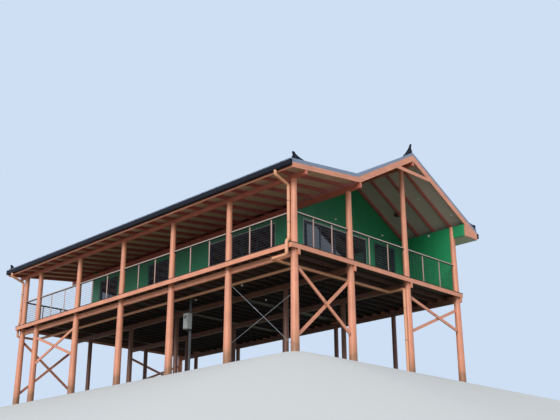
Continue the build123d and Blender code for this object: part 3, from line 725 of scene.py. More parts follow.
def makeNosing():
    shape = bmesh.new()
    (x0, x1), (y0, y1), (low, high) = (nosingSizes[key] for key in "xyz")
    wide = nosingSizes["wide"]
    addBlock(shape, (x0, y0, low), (x1, y0 + wide, high))
    addBlock(shape, (x0, y1 - wide, low), (x1, y1, high))
    addBlock(shape, (x0, y0 + wide, low), (x0 + wide, y1 - wide, high))
    addBlock(shape, (x1 - wide, y0 + wide, low), (x1, y1 - wide, high))
    solid("deck_nosing", shape, "shadedEdgeTimber", 0.004, smooth=35.0)


makeNosing()


# Linings under the roof: narrow boards over the verandas, wide sheets under the main slopes.
# Each slope has a finish, width and gap, and how far its low and high y ends are drawn in
liningSizes = {
    "low": ("liningPaint", 0.140, 0.004, 0.025, 0.0),
    "front": ("ceilingPaint", 0.900, 0.005, 0.0, 0.002),
    "back": ("ceilingPaint", 0.900, 0.005, 0.002, 0.025),
    "run": 8.605,
    "seed": 7,
}


def makeLinings():
    made = {}
    low, high = house["lining"]
    for key, (line, pitch, y0, y1) in slopes.items():
        finish, width, gap, lowIn, highIn = liningSizes[key]
        y0, y1 = y0 + lowIn, y1 - highIn
        length = (y1 - y0) / math.cos(pitch)
        count = round(length / width)
        step = length / count
        y = y0 + step / 2 * math.cos(pitch)
        values = {
            "Start": (0.0, y, line(y) + (low + high) / 2 / math.cos(pitch)),
            "Step": (0.0, step * math.cos(pitch), step * math.sin(pitch)),
            "Count": count,
            "Board": (2 * liningSizes["run"], step - gap, high - low),
            "Slope": pitch,
            "Seed": liningSizes["seed"],
        }
        made[key] = grow(key + "_lining", boardTree, finish, values)
    lowLining = joined("veranda_lining_boards", [made["low"]])
    settle(lowLining, smooth=0)
    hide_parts("veranda_ceiling")
    mainLining = joined("main_lining_sheets", [made["front"], made["back"]])
    settle(mainLining, smooth=0)
    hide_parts("main_ceiling")


makeLinings()
print("linings laid")


# Corrugated roof sheets on the slabs, between the verge caps
sheetSizes = {
    "pitch": 0.076,
    "depth": 0.016,
    "thick": 0.0015,
    "half": 8.570,
    "perWave": 6,
    "above": 0.001,
    "lap": (0.05, 0.004),
    "screwEvery": 4,
    "battenEvery": 0.90,
    "screw": (0.0065, 0.006, 6, 0.85, 0.011, 0.002),
}


def slopePoint(key, along, above, x=0.0):
    # A point on a slope: metres up in y from its low y edge, and above the rafter seat
    line, pitch, y0, _ = slopes[key]
    y = y0 + along * math.cos(pitch)
    return (x, y - above * math.sin(pitch), line(y) + above * math.cos(pitch))


def makeRoofSheets():
    pitch, depth, thick = (sheetSizes[key] for key in ("pitch", "depth", "thick"))
    crest = house["skin"] + depth / 2 + sheetSizes["above"]
    sheets, spots = [], []
    waves = int(2 * sheetSizes["half"] / pitch)
    for key, (_, slope, y0, y1) in slopes.items():
        length = (y1 - y0) / math.cos(slope)
        lap, lift = sheetSizes["lap"] if key == "front" else (0.0, 0.0)
        values = {
            "Across": waves * pitch,
            "Down": length + lap,
            "Columns": waves * sheetSizes["perWave"] + 1,
            "Pitch": pitch,
            "Depth": depth,
            "Thickness": thick,
            "Slope": slope,
            "Centre": slopePoint(key, (length - lap) / 2, crest + lift),
        }
        sheets.append(grow(key + "_sheet", sheetTree, "sheetSteel", values))
        battens = round(length / sheetSizes["battenEvery"])
        facing = (0, -math.sin(slope), math.cos(slope))
        for batten in range(battens):
            along = (batten + 0.5) * length / battens
            for wave in range(2, waves - 1, sheetSizes["screwEvery"]):
                x = (wave - waves // 2 + 0.25 + (waves % 2) / 2) * pitch
                spots.append((slopePoint(key, along, crest + depth / 2 + thick, x), facing))
    settle(joined("roof_sheets", sheets), smooth=60)
    boltPiece("roof_screws", spots, "galvanised", sheetSizes["screw"])


makeRoofSheets()
print("roof sheets laid")


# Ridge cap: two wings turned down at their edge, and a roll along the top
ridgeSizes = {
    "wing": 0.185,
    "above": (0.236, 0.239),
    "turnDown": 0.012,
    "roll": 0.030,
    "rollFoot": 0.9,
    "rollRise": 0.35,
    "rollArc": (200, -20, 14),
    "run": 8.572,
}


def makeRidge():
    y, wing, roll = rows[2], ridgeSizes["wing"], ridgeSizes["roll"]
    low, high = (above / math.cos(mainPitch) for above in ridgeSizes["above"])
    apex, edge, foot = frontLine(y) + low, frontLine(y - wing), roll * ridgeSizes["rollFoot"]
    half = [(wing, edge + low - ridgeSizes["turnDown"]), (wing, edge + high)]
    half.append((foot, frontLine(y - foot) + high))
    outline = [(y - out, z) for out, z in half]
    outline += arc((y, apex + roll * ridgeSizes["rollRise"]), roll, *ridgeSizes["rollArc"])
    outline += [(y + out, z) for out, z in half[::-1]] + [(y, apex)]
    shape = bmesh.new()
    addPrism(shape, outline, -ridgeSizes["run"], ridgeSizes["run"])
    piece = solid("ridge_roll", shape, "roofSteel")
    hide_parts("ridge_cap")


makeRidge()


# Gutters: a folded trough with a round front edge, a lip along its top painted pale as a highlight,
# brackets and stop ends
gutterSizes = {
    "front": (-5.0, -5.12, 5.7055),
    "back": (5.0, 5.12, 5.6327),
    "high": 0.200,
    "wall": 0.004,
    "stopIn": 0.001,
    "round": 0.030,
    "lip": (0.026, 0.042),
    "lipOut": 0.003,
    "lipEnd": 0.002,
    "run": 8.635,
    "bracketEvery": 0.75,
    "bracket": 0.030,
    "strap": 0.003,
    "bar": (0.004, 0.006, 0.002),
}


def makeGutters():
    troughs, lips, brackets = bmesh.new(), bmesh.new(), bmesh.new()
    run, wall, bend = (gutterSizes[key] for key in ("run", "wall", "round"))
    barIn, barLow, barHigh = gutterSizes["bar"]
    for key in ("front", "back"):
        inner, outer, low = gutterSizes[key]
        side = 1 if outer > inner else -1
        top = low + gutterSizes["high"]

        def shell(offset):
            # The trough's section, this far inside its outer face
            centre = (outer - side * bend, low + bend)
            curve = arc(centre, bend - offset, 270, 360, 6)
            if side < 0:
                curve = [(2 * centre[0] - y, z) for y, z in curve]
            back = [(inner + side * offset, top), (inner + side * offset, low + offset)]
            return back + curve + [(outer - side * offset, top)]

        addPrism(troughs, shell(0.0) + shell(wall)[::-1], -run, run)
        for x in (-run, run - wall):
            addPrism(troughs, shell(gutterSizes["stopIn"]), x, x + wall)
        wide, high = gutterSizes["lip"]
        face = outer + side * gutterSizes["lipOut"]
        near, far = sorted((face, face - side * wide))
        end = run + gutterSizes["lipEnd"]
        addBlock(lips, (-end, near, top - high), (end, far, top))
        count = round(2 * run / gutterSizes["bracketEvery"])
        near, far = sorted((inner, outer))
        for i in range(count):
            middle = -run + (i + 0.5) * 2 * run / count
            x0, x1 = middle - gutterSizes["bracket"] / 2, middle + gutterSizes["bracket"] / 2
            addBlock(brackets, (x0, near + barIn, top - barLow), (x1, far - barIn, top - barHigh))
            addPrism(brackets, shell(-gutterSizes["strap"]) + shell(0.0)[::-1], x0, x1)
    piece = solid("gutter_troughs", troughs, "gutterSteel", smooth=30)
    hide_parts("gutters")
    # Painted highlight: the lip along each gutter's top takes the pale roof steel
    solid("gutter_lips", lips, "roofSteel", 0.009, 3)
    solid("gutter_brackets", brackets, "gutterSteel", smooth=30)


makeGutters()
print("gutters and ridge made")


# Verge rolls: the rounded outer edge of the caps, the drip fold under them, and their screws
vergeSizes = {
    "roll": 0.011,
    "rollSides": 10,
    "rollIn": 0.008,
    "foldOut": 0.004,
    "screwOut": 0.0005,
    "screwUp": 0.038,
    "screwEvery": 0.45,
    "screw": (0.005, 0.004, 8, 0.6, 0.008, 0.0015),
}


def vergeLine(x, above):
    low, main = above / math.cos(lowPitch), above / math.cos(mainPitch)
    bend = (main - low) / (math.tan(mainPitch) - math.tan(lowPitch))
    line = [(x, y, lowLine(y) + low) for y in (-house["eave"], rows[1] - bend)]
    top, end = rows[2], house["eave"]
    return line + [(x, top, frontLine(top) + main), (x, end, backLine(end) + main)]


def makeVergeRolls():
    lines, spots = [], []
    for side in (1, -1):
        x = side * (house["verge"] - vergeSizes["roll"])
        lines.append(vergeLine(x, house["capTop"] - vergeSizes["rollIn"]))
        lines.append(vergeLine(x + side * vergeSizes["foldOut"], house["skin"]))
        x = side * (house["verge"] + vergeSizes["screwOut"])
        points = vergeLine(x, house["skin"] + vergeSizes["screwUp"])
        for start, end in zip(points, points[1:]):
            a, b = Vector(start), Vector(end)
            count = round((b - a).length / vergeSizes["screwEvery"])
            spots += [(tuple(a.lerp(b, (i + 0.5) / count)), (side, 0, 0)) for i in range(count)]
    roll = vergeSizes["roll"], vergeSizes["rollSides"]
    barPiece("verge_rolls", lines, "roofSteel", "roof_metal", *roll)
    boltPiece("verge_screws", spots, "roofSteel", vergeSizes["screw"])


makeVergeRolls()


# Finials: horns with a hollow back, a knobbed tip and a small curl at the outer foot. Each has
# its tip's y, the way its tail runs, length and height; the profile gives parts of the last two
finialSizes = {
    "thick": 0.042,
    "inset": 0.030,
    "sunk": 0.004,
    "ridge": (1.2, -1, 0.54, 0.370),
    "front": (-5.0, 1, 0.56, 0.245),
    "back": (5.0, -1, 0.50, 0.215),
    "profile": (
        (1.00, 0.00), (1.00, 0.06), (0.87, 0.15), (0.73, 0.25), (0.60, 0.36), (0.48, 0.48),
        (0.38, 0.60), (0.30, 0.71), (0.25, 0.81), (0.23, 0.88), (0.19, 0.95), (0.13, 1.00),
        (0.07, 0.98), (0.03, 0.90), (0.04, 0.80), (0.08, 0.70), (0.09, 0.56), (0.08, 0.42),
        (0.05, 0.30), (0.01, 0.22), (0.00, 0.12), (0.04, 0.00),
    ),
}


def makeFinials():
    shape = bmesh.new()
    lines = {"ridge": frontLine, "front": lowLine, "back": backLine}
    half = finialSizes["thick"] / 2
    for side in (1, -1):
        x = side * (house["verge"] - finialSizes["inset"])
        for key, line in lines.items():
            tipY, way, length, height = finialSizes[key]
            pitch = lowPitch if key == "front" else mainPitch
            foot = house["capTop"] / math.cos(pitch) - finialSizes["sunk"]
            outline = []
            for along, up in finialSizes["profile"]:
                y = tipY + way * along * length
                outline.append((y, line(y) + foot + up * height))
            addPrism(shape, outline, x - half, x + half)
    piece = solid("horn_finials", shape, "gutterSteel", 0.008, smooth=50)
    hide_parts("finials")


makeFinials()
print("verges and finials made")


# Railings: a rounded top rail, flat posts on foot plates and twelve thin rods a panel
railingSizes = {
    "rail": (4.490, 4.530),
    "railWide": 0.050,
    "channel": (0.046, -0.020, 0.008),
    "post": (0.050, 0.014),
    "postUp": 0.004,
    "postEvery": 1.0,
    "rods": 12,
    "rod": (0.005, 8),
    "sleeve": (0.008, 8),
    "sleeveLong": 0.051,
    "plate": (0.110, 0.070, 0.008),
    "plateLift": 0.0002,
    "screws": (0.040, 0.022),
    "screw": (0.007, 0.005, 6, 0.85, 0.011, 0.002),
    "flange": (0.010, 0.072, -0.022, 0.012),
    "inPole": (0.004, 0.006),
}


def railPanels(key):
    if key == "front":
        return [((a, rows[0]), (b, rows[0])) for a, b in zip(poleXs, poleXs[1:])]
    return [((x, a), (x, b)) for x in gableXs for a, b in zip(rows, rows[1:])]


def makeRailing(key, node):
    bars, channels, posts = bmesh.new(), bmesh.new(), bmesh.new()
    rods, sleeves, spots = [], [], []
    low, high = railingSizes["rail"]
    channelWide, channelLow, channelHigh = railingSizes["channel"]
    postLong, postWide = railingSizes["post"]
    plateLong, plateWide, plateHigh = railingSizes["plate"]
    screwLong, screwWide = railingSizes["screws"]
    flangeLong, flangeWide, flangeLow, flangeHigh = railingSizes["flange"]
    railIn, rodIn = railingSizes["inPole"]
    for start, end in railPanels(key):
        a, b = Vector((*start, 0)), Vector((*end, 0))
        way, run = (b - a).normalized(), (b - a).length
        across = Vector((-way.y, way.x, 0))
        reach = poleRadius(high) - railIn

        def block(shape, along, long, wide, z0, z1):
            middle = a + way * along
            spread = Vector([abs(c) for c in way * (long / 2) + across * (wide / 2)])
            addBlock(shape, (*(middle - spread).xy, z0), (*(middle + spread).xy, z1))

        long = run - 2 * reach
        block(bars, run / 2, long, railingSizes["railWide"], low, high)
        # Painted shade: a near-black channel under the rail, for the shade beneath it
        block(channels, run / 2, long, channelWide, low + channelLow, low + channelHigh)
        for along in (reach + flangeLong / 2, run - reach - flangeLong / 2):
            block(bars, along, flangeLong, flangeWide, low + flangeLow, high + flangeHigh)
        count = round(run / railingSizes["postEvery"]) - 1
        top, foot = low + channelLow + railingSizes["postUp"], deckTop + railingSizes["plateLift"]
        for i in range(count):
            along = (i + 1) * run / (count + 1)
            block(posts, along, postLong, postWide, deckTop, top)
            block(posts, along, plateLong, plateWide, foot, deckTop + plateHigh)
            for offset in (-screwLong, screwLong):
                for out in (-screwWide, screwWide):
                    place = a + way * (along + offset) + across * out
                    spots.append(((*place.xy, deckTop + plateHigh), (0, 0, 1)))
        for i in range(railingSizes["rods"]):
            z = deckTop + (low - deckTop) / (railingSizes["rods"] + 1) * (i + 1)
            near = poleRadius(z) - rodIn
            first, last = a + way * near, b - way * near
            rods.append([(*first.xy, z), (*last.xy, z)])
            for place, turn in ((first, way), (last, -way)):
                tip = place + turn * railingSizes["sleeveLong"]
                sleeves.append([(*place.xy, z), (*tip.xy, z)])
    name = key + "_rail"
    piece = solid(name + "_bars", bars, "railPaint", 0.016, 4)
    # Painted shade: the channel's near-black colour stands for shade under the rail
    solid(name + "_channels", channels, "channelShade", 0.003)
    solid(name + "_posts", posts, "postPaint", 0.003, 1)
    barPiece(name + "_rods", rods, "rodSteel", "steel", *railingSizes["rod"], 50)
    barPiece(name + "_sleeves", sleeves, "galvanised", "steel", *railingSizes["sleeve"], 50)
    boltPiece(name + "_screws", spots, "galvanised", railingSizes["screw"])
    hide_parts(node)


makeRailing("front", "front_railing")
makeRailing("end", "end_railings")
print("railings made")


# Bolts through the poles at the bearers, and through the braces and ties
boltSizes = {
    "bearerZs": (3.140, 3.222),
    "bearerBack": 0.095,
    "sunk": 0.001,
    "braceThick": 0.040,
    "braceTop": 2.820,
    "braceIn": 0.180,
    "gableFeet": {(0, 1): (0.540, 0.920), (2, 3): (1.545, 1.970)},
    "frontBrace": (-6.925, -3.925, 1.690, 1.690),
    "tieZ": 7.185,
    "tieOut": 0.840,
    "tieThick": 0.030,
    "bolt": (0.014, 0.010, 6, 0.92, 0.026, 0.003),
}


def braceBolts():
    top, thick = boltSizes["braceTop"], boltSizes["braceThick"]
    boards, spots = [], []
    for (low, high), (riseFoot, fallFoot) in boltSizes["gableFeet"].items():
        start, end = rows[low], rows[high]
        for x in gableXs:
            boards.append(((x + thick, start, top), (x + thick, end, fallFoot), (1, 0, 0)))
            boards.append(((x - thick, start, riseFoot), (x - thick, end, top), (-1, 0, 0)))
    left, right, riseFoot, fallFoot = boltSizes["frontBrace"]
    y = rows[0]
    boards.append(((left, y - thick, top), (right, y - thick, fallFoot), (0, -1, 0)))
    boards.append(((left, y + thick, riseFoot), (right, y + thick, top), (0, 1, 0)))
    for start, end, facing in boards:
        a, b = Vector(start), Vector(end)
        inset = boltSizes["braceIn"] / (b - a).length
        spots += [(tuple(a.lerp(b, part)), facing) for part in (inset, 0.5, 1 - inset)]
    return spots


def makeBolts():
    spots = braceBolts()
    for x, y in polePlaces:
        for z in boltSizes["bearerZs"]:
            spots.append(((x, y - poleRadius(z) + boltSizes["sunk"], z), (0, -1, 0)))
            spots.append(((x, y + boltSizes["bearerBack"], z), (0, 1, 0)))
    for side in (1, -1):
        for way in (1, -1):
            inside = side * (house["verge"] - boltSizes["tieThick"])
            place = (inside, rows[2] + way * boltSizes["tieOut"], boltSizes["tieZ"])
            spots.append((place, (-side, 0, 0)))
    boltPiece("frame_bolts", spots, "boltSteel", boltSizes["bolt"])


makeBolts()


# Stays: a turnbuckle near the middle of each rod, with collars beside it and at the poles
staySizes = {
    "rods": (
        ((8.075, -4.389, 0.270), (5.075, -4.389, 2.820)),
        ((8.075, -4.361, 1.970), (5.075, -4.361, 0.730)),
    ),
    "middle": 0.56,
    "buckle": (0.0125, 6),
    "buckleHalf": 0.10,
    "collar": (0.0105, 12),
    "collarHalf": 0.035,
    "besideBuckle": 0.125,
    "fromEnd": 0.1725,
}


def barAt(middle, reach):
    return [tuple(middle - reach), tuple(middle + reach)]


def makeStayFittings():
    buckles, collars = [], []
    for start, end in staySizes["rods"]:
        a, b = Vector(start), Vector(end)
        way, middle = (b - a).normalized(), a.lerp(b, staySizes["middle"])
        buckles.append(barAt(middle, way * staySizes["buckleHalf"]))
        beside, inset = way * staySizes["besideBuckle"], way * staySizes["fromEnd"]
        for at in (middle - beside, middle + beside, a + inset, b - inset):
            collars.append(barAt(at, way * staySizes["collarHalf"]))
    barPiece("stay_buckles", buckles, "galvanised", "steel", *staySizes["buckle"], 30)
    barPiece("stay_collars", collars, "galvanised", "steel", *staySizes["collar"])


makeStayFittings()
print("bolts and stay fittings made")


# Rain pipes: sockets at the bends and along the runs, and saddle straps. Each piece has its
# finish, radius and half length, and the places and axes of its rings
pipeSizes = {
    "sides": 28,
    "pipe_sockets": ("pipePaint", 0.0545, 0.035, (
        (7.9564, -5.060, 5.680, "z"), (7.9564, -4.4936, 5.250, "z"), (7.9564, -4.4936, 3.740, "z"),
        (8.0750, -4.710, 3.330, "z"), (8.0750, -4.710, 3.160, "z"), (7.9500, -4.710, 3.035, "x"),
        (7.5600, -4.710, 3.035, "x"), (7.4350, -4.580, 3.035, "y"), (7.4350, -1.850, 3.035, "y"),
        (7.4350, 0.880, 3.035, "y"), (7.5650, 1.010, 3.035, "x"), (7.9450, 1.010, 3.035, "x"),
        (8.0750, 1.010, 2.905, "z"), (8.0750, 1.010, 0.050, "z"), (-8.1936, -5.060, 5.680, "z"),
        (-8.1936, -4.4936, 5.250, "z"), (-8.1936, -4.4936, 3.740, "z"), (-8.28, -4.360, 3.035, "y"),
        (-8.2800, -3.705, 3.035, "y"), (-8.1500, -3.575, 3.035, "x"), (-4.2, -3.575, 3.035, "x"),
        (-0.2000, -3.575, 3.035, "x"), (3.8000, -3.575, 3.035, "x"), (7.3450, -3.575, 3.035, "x"),
    )),
    "pipe_straps": ("boltSteel", 0.0525, 0.012, (
        (7.9564, -4.4936, 4.85, "z"), (7.9564, -4.4936, 4.15, "z"), (8.0750, 1.010, 2.35, "z"),
        (8.0750, 1.010, 1.25, "z"), (-8.1936, -4.4936, 4.85, "z"), (-8.1936, -4.4936, 4.15, "z"),
    )),
}


def makePipeFittings():
    for name in ("pipe_sockets", "pipe_straps"):
        finish, radius, half, rings = pipeSizes[name]
        lines = []
        for *place, axis in rings:
            lines.append(barAt(Vector(place), Vector([half if a == axis else 0 for a in "xyz"])))
        barPiece(name, lines, finish, "pipe_paint", radius, pipeSizes["sides"])


makePipeFittings()


# Meter box: a housing with a door leaf and a hood, the post with its foot and cleat, a bare
# plate, a handle and two hinges, each block by its low and high corner, and two conduits
meterSizes = {
    "box": ((1.555, -3.385, 1.980), (1.815, -3.195, 2.530)),
    "door": ((1.569, -3.395, 1.994), (1.801, -3.383, 2.516)),
    "hood": ((1.549, -3.401, 2.526), (1.821, -3.197, 2.538)),
    "post": ((1.655, -3.195, 0.0), (1.715, -3.135, 3.27)),
    "foot": ((1.610, -3.240, 0.0), (1.760, -3.090, 0.010)),
    "cleat": ((1.625, -3.197, 3.200), (1.745, -3.191, 3.268)),
    "plate": ((1.615, -3.398, 2.340), (1.755, -3.394, 2.460)),
    "handle": ((1.779, -3.405, 2.220), (1.793, -3.394, 2.290)),
    "lowHinge": ((1.559, -3.399, 2.045), (1.571, -3.391, 2.095)),
    "highHinge": ((1.559, -3.399, 2.415), (1.571, -3.391, 2.465)),
    "conduit": (0.013, 14),
    "conduits": (
        [(1.731, -3.165, 0.0), (1.731, -3.165, 3.26)],
        [(1.635, -3.255, 1.99), (1.635, -3.255, 1.93), (1.635, -3.155, 1.87), (1.635, -3.155, 0.0)],
    ),
}


def meterPiece(name, keys, finish, bevel):
    shape = bmesh.new()
    for key in keys:
        addBlock(shape, *meterSizes[key])
    return solid(name, shape, finish, bevel)


def makeMeterBox():
    piece = meterPiece("meter_housing", ("box", "door", "hood"), "meterPaint", 0.005)
    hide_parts("meter_box")
    meterPiece("meter_post", ("post", "foot", "cleat"), "conduitPaint", 0.005)
    fittings = ("plate", "handle", "lowHinge", "highHinge")
    meterPiece("meter_fittings", fittings, "conduitPaint", 0.002)
    conduits = meterSizes["conduits"]
    barPiece("meter_conduits", conduits, "conduitPaint", "meter_grey", *meterSizes["conduit"])


makeMeterBox()
print("pipe fittings and meter box made")


# Windows: two sliding sashes in each frame, a sill outside and a head flashing
windowSizes = {
    "spans": {
        "side": ((-2.765, -1.515), (-6.275, -5.025)),
        "back": ((2.925, 4.175), (-0.975, 0.275), (-4.875, -3.625)),
        "near": ((2.515, 3.675),),
        "far": ((2.515, 3.675),),
    },
    "z": (4.320, 5.570),
    "frame": 0.050,
    "sash": 0.034,
    "sashDeep": ((-0.054, -0.074), (-0.026, -0.046)),
    "trim": 0.045,
    "trimDeep": (-0.002, 0.006),
    "sill": 0.022,
    "sillDeep": (-0.012, 0.030),
    "flashing": (0.004, 0.016),
    "flashingDeep": (-0.002, 0.022),
}


def makeWindow(sashes, trims, wall, low, high):
    z0, z1 = windowSizes["z"]
    edge, sash, trim = (windowSizes[key] for key in ("frame", "sash", "trim"))
    middle, foot, head = (low + high) / 2, z0 + edge, z1 - edge
    halves = ((low + edge, middle + sash / 2), (middle - sash / 2, high - edge))
    for (s0, s1), deep in zip(halves, windowSizes["sashDeep"]):
        for span in ((s0, s0 + sash), (s1 - sash, s1)):
            wallBlock(sashes, wall, span, (foot, head), deep)
        for z in ((foot, foot + sash), (head - sash, head)):
            wallBlock(sashes, wall, (s0, s1), z, deep)
    across, flashing = (low - trim, high + trim), [z1 + up for up in windowSizes["flashing"]]
    wallBlock(trims, wall, across, (z0 - windowSizes["sill"], z0), windowSizes["sillDeep"])
    wallBlock(trims, wall, across, flashing, windowSizes["flashingDeep"])
    for span in ((low - trim, low), (high, high + trim)):
        wallBlock(trims, wall, span, (z0, flashing[0]), windowSizes["trimDeep"])


def makeWindows():
    sashes, trims = bmesh.new(), bmesh.new()
    for name, spans in windowSizes["spans"].items():
        for low, high in spans:
            makeWindow(sashes, trims, walls[name], low, high)
    solid("window_sashes", sashes, "charcoalAluminium", 0.003, 1)
    solid("window_trims", trims, "charcoalAluminium", 0.002, 1)


makeWindows()


# Doorways: architraves, a ribbed track in the sill and hoods over the heads
doorSizes = {
    "side": (1.045, 4.645),
    "near": (-1.435, 1.975),
    "z": (3.420, 5.570),
    "face": 0.045,
    "architrave": 0.024,
    "lap": 0.002,
    "architraveDeep": (-0.002, 0.010),
    "hood": 0.012,
    "hoodDeep": (-0.002, 0.030),
    "ribs": (0.012, 0.047),
    "ribUp": 0.0008,
    "rib": (0.0032, 8),
}


def makeDoorways():
    trims, ribs = bmesh.new(), []
    z0, z1 = doorSizes["z"]
    wide, lap, face = (doorSizes[key] for key in ("architrave", "lap", "face"))
    top, rib = z1 + wide, z0 + face + doorSizes["ribUp"]
    for key in ("side", "near"):
        low, high = doorSizes[key]
        axis, outer, out = wall = walls[key]
        for span in ((low - wide, low + lap), (high - lap, high + wide)):
            wallBlock(trims, wall, span, (z0, top), doorSizes["architraveDeep"])
        wallBlock(trims, wall, (low, high), (z1 - lap, top), doorSizes["architraveDeep"])
        hood = (top, top + doorSizes["hood"])
        wallBlock(trims, wall, (low - wide, high + wide), hood, doorSizes["hoodDeep"])
        for deep in doorSizes["ribs"]:
            at = outer - out * deep
            ends = (low + face, high - face)
            ribs.append([(end, at, rib) if axis == "y" else (at, end, rib) for end in ends])
    solid("door_trims", trims, "paleAluminium", 0.002, 1)
    barPiece("door_track_ribs", ribs, "galvanised", "white_frame", *doorSizes["rib"])


makeDoorways()


# Leaves: a flush pull on the outer face and a bow handle inside, on each sliding leaf. The
# bow's path gives distances out from the inner face, with heights
leafSizes = {
    "stile": 0.060,
    "pullZ": (4.400, 4.560),
    "pullHalf": 0.014,
    "pullDeep": (-0.001, 0.0035),
    "bow": (0.006, 12),
    "bowPath": (
        (0.002, 4.360), (-0.022, 4.360), (-0.030, 4.370),
        (-0.030, 4.590), (-0.022, 4.600), (0.002, 4.600),
    ),
}


def makeLeafFittings():
    for name in leafNames:
        (x0, y0, _), (x1, y1, _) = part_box(name)
        onSide = name.startswith("side")
        low, high = (x0, x1) if onSide else (y0, y1)
        meetsHigh = name in ("side_leaf_far", "near_leaf_front")
        half = leafSizes["stile"] / 2
        middle = high - half if meetsHigh else low + half
        axis, outer, inner, out = ("y", y0, y1, -1) if onSide else ("x", x1, x0, 1)
        span = (middle - leafSizes["pullHalf"], middle + leafSizes["pullHalf"])
        shape = bmesh.new()
        wallBlock(shape, (axis, outer, out), span, leafSizes["pullZ"], leafSizes["pullDeep"])
        solid(name + "_pull", shape, "galvanised", 0.001, body=name)
        path = [(inner + out * away, z) for away, z in leafSizes["bowPath"]]
        line = [(middle, at, z) if onSide else (at, middle, z) for at, z in path]
        bow = leafSizes["bow"]
        barPiece(name + "_bow", [line], "galvanised", "white_frame", *bow, body=name)


makeLeafFittings()
print("windows, doorways and leaf fittings made")


# Lamps: three on the walls, downlights in the linings, three under the joists, and a dark one
# that hangs from the back slope. Profiles give radius and height, from the foot out
lampSizes = {
    "walls": (
        ((5.675, 0.270, 5.990), (1, 0, 0)), ((5.675, 2.980, 5.985), (1, 0, 0)),
        ((7.050, 4.125, 5.900), (0, -1, 0)),
    ),
    "joists": ((3.035, -0.72, 3.27), (1.235, -2.57, 3.27), (3.935, -2.74, 3.27)),
    "linings": (
        ("back", 7.61, 2.80), ("back", 8.33, 3.84), ("low", 3.75, -2.54), ("low", -1.90, -2.54),
        ("low", 6.90, -3.10),
    ),
    "dark": ("back", 6.38, 3.08),
    "round": (
        (0.044, 0.0), (0.044, 0.010), (0.036, 0.016), (0.034, 0.034), (0.028, 0.048),
        (0.014, 0.055), (0.0, 0.057),
    ),
    "flat": (
        (0.045, 0.0), (0.045, 0.008), (0.038, 0.014), (0.034, 0.012), (0.025, 0.020), (0.0, 0.024),
    ),
    "shade": (
        (0.070, 0.0), (0.070, 0.012), (0.022, 0.022), (0.018, 0.070), (0.060, 0.086),
        (0.100, 0.130), (0.092, 0.160), (0.050, 0.176), (0.0, 0.180),
    ),
    "sides": 28,
}


def addTurned(shape, profile, place, facing):
    # A turned form that stands on a surface, the way it faces
    turn = Vector((0, 0, 1)).rotation_difference(Vector(facing)).to_matrix()
    sides = lampSizes["sides"]
    angles = [math.tau * i / sides for i in range(sides)]
    rings = []
    for radius, height in lampSizes[profile]:
        around = [(radius * math.cos(a), radius * math.sin(a), height) for a in angles]
        points = around if radius else [(0, 0, height)]
        rings.append([shape.verts.new(Vector(place) + turn @ Vector(point)) for point in points])
    shape.faces.new(rings[0][::-1])
    for lower, upper in zip(rings, rings[1:]):
        for i in range(sides):
            j = (i + 1) % sides
            shape.faces.new([lower[i], lower[j], *([upper[j], upper[i]] if upper[1:] else upper)])


def hangLamp(shape, profile, key, x, y):
    line, pitch, _, _ = slopes[key]
    place = (x, y, line(y) + house["lining"][0] / math.cos(pitch))
    addTurned(shape, profile, place, (0, math.sin(pitch), -math.cos(pitch)))


def makeLamps():
    shape = bmesh.new()
    for place, facing in lampSizes["walls"]:
        addTurned(shape, "round", place, facing)
    for spot in lampSizes["linings"]:
        hangLamp(shape, "flat", *spot)
    for place in lampSizes["joists"]:
        addTurned(shape, "round", place, (0, 0, -1))
    solid("lamps", shape, "lampGlass", smooth=30)
    shape = bmesh.new()
    hangLamp(shape, "shade", *lampSizes["dark"])
    solid("dark_lamp", shape, "lampBrown", smooth=30)


makeLamps()
print("lamps made")


# Floor: level under the house and behind it, falling away towards the camera. It is pale where
# the camera sees it, and dark to the light that it throws back
floorSizes = {
    "nearX": 8.5,
    "frontY": -4.8,
    "out": (0.0, 0.1, 0.25, 0.5, 0.9, 1.5, 2.5, 4.0, 7.0, 12.0, 20.0, 35.0, 60.0, 90.0),
    "back": (20.0, 90.0),
    "fall": 0.40,
    "round": 0.8,
    "seen": (0.440, 0.455, 0.460, 1),
    "thrown": (0.240, 0.250, 0.200, 1),
}


def floorSteps(edge, sign):
    outer = [edge + sign * step for step in floorSizes["out"]]
    return sorted(outer + [edge - sign * step for step in floorSizes["back"]])


def makeFloor():
    nearX, frontY, bend = (floorSizes[key] for key in ("nearX", "frontY", "round"))
    xs, ys = floorSteps(nearX, 1), floorSteps(frontY, -1)
    points = []
    for x in xs:
        for y in ys:
            out = math.hypot(max(x - nearX, 0), max(frontY - y, 0))
            points.append((x, y, -floorSizes["fall"] * (math.hypot(out, bend) - bend)))
    row = len(ys)
    starts = [i for i in range(len(points) - row) if (i + 1) % row]
    mesh = bpy.data.meshes.new("floor")
    mesh.from_pydata(points, [], [(i, i + row, i + row + 1, i + 1) for i in starts])
    mesh.shade_smooth()
    mesh.materials.append(makeFloorPaper())
    floor = newPiece("floor", mesh)


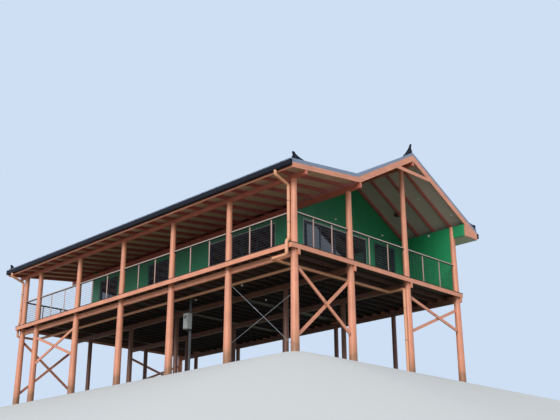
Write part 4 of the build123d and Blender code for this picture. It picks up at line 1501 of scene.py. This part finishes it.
def makeFloorPaper():
    material, tree, shader = newMaterial(0.9)
    material.name = "floorPaper"
    fill(tree, shader, {"Base Color": floorSizes["seen"]})
    dark = feed(tree, "ShaderNodeBsdfDiffuse", {"Color": floorSizes["thrown"]})
    cameraRay = feed(tree, "ShaderNodeLightPath", {}, "Is Camera Ray")
    links = {0: cameraRay, 1: dark, 2: shader.outputs["BSDF"]}
    mixed = feed(tree, "ShaderNodeMixShader", links)
    fill(tree, tree.nodes["Material Output"], {"Surface": mixed})
    return material


makeFloor()


# Light: a broad sun from over the camera's left shoulder and a sky that is darker low down
lightSizes = {
    "sun": 2.25,
    "sunSpread": 30.0,
    "sunFrom": (0.38, -0.86, 0.50),
    "sunPlace": (0, 0, 30),
    "sunColour": (1.0, 0.98, 0.95),
    "sky": 1.05,
    "skyLow": (0.20, 0.21, 0.18),
    "skyHigh": (0.93, 0.96, 1.0),
    "skyBand": (-0.35, 0.25),
    "seen": (0.617, 0.737, 0.905, 1),
}


def makeLight():
    data = bpy.data.lights.new("sun", "SUN")
    data.energy = lightSizes["sun"]
    data.angle = math.radians(lightSizes["sunSpread"])
    data.color = lightSizes["sunColour"]
    sun = newPiece("sun", data)
    sun.rotation_mode = "QUATERNION"
    sun.rotation_quaternion = Vector(lightSizes["sunFrom"]).to_track_quat("Z", "Y")
    sun.location = lightSizes["sunPlace"]

    world = bpy.data.worlds.new("sky")
    scene.world = world
    world.use_nodes = True
    tree = world.node_tree
    tree.nodes.clear()
    direction = feed(tree, "ShaderNodeTexCoord", {}, "Generated")
    height = feed(tree, "ShaderNodeSeparateXYZ", {0: direction}, "Z")
    stops = [(0.0, lightSizes["skyLow"]), (1.0, lightSizes["skyHigh"])]
    colour = ramp(tree, share(tree, height, *lightSizes["skyBand"]), stops)
    light = feed(tree, "ShaderNodeBackground", {"Color": colour, "Strength": lightSizes["sky"]})
    seen = feed(tree, "ShaderNodeBackground", {"Color": lightSizes["seen"], "Strength": 1.0})
    rays = addNode(tree, "ShaderNodeLightPath").outputs
    either = calc(tree, "MAXIMUM", rays["Is Camera Ray"], rays["Is Glossy Ray"])
    shown = calc(tree, "MAXIMUM", either, rays["Is Transmission Ray"])
    mixed = feed(tree, "ShaderNodeMixShader", {0: shown, 1: light, 2: seen})
    fill(tree, addNode(tree, "ShaderNodeOutputWorld"), {"Surface": mixed})
    scene.view_settings.view_transform = "Standard"


makeLight()
print("floor and light made")
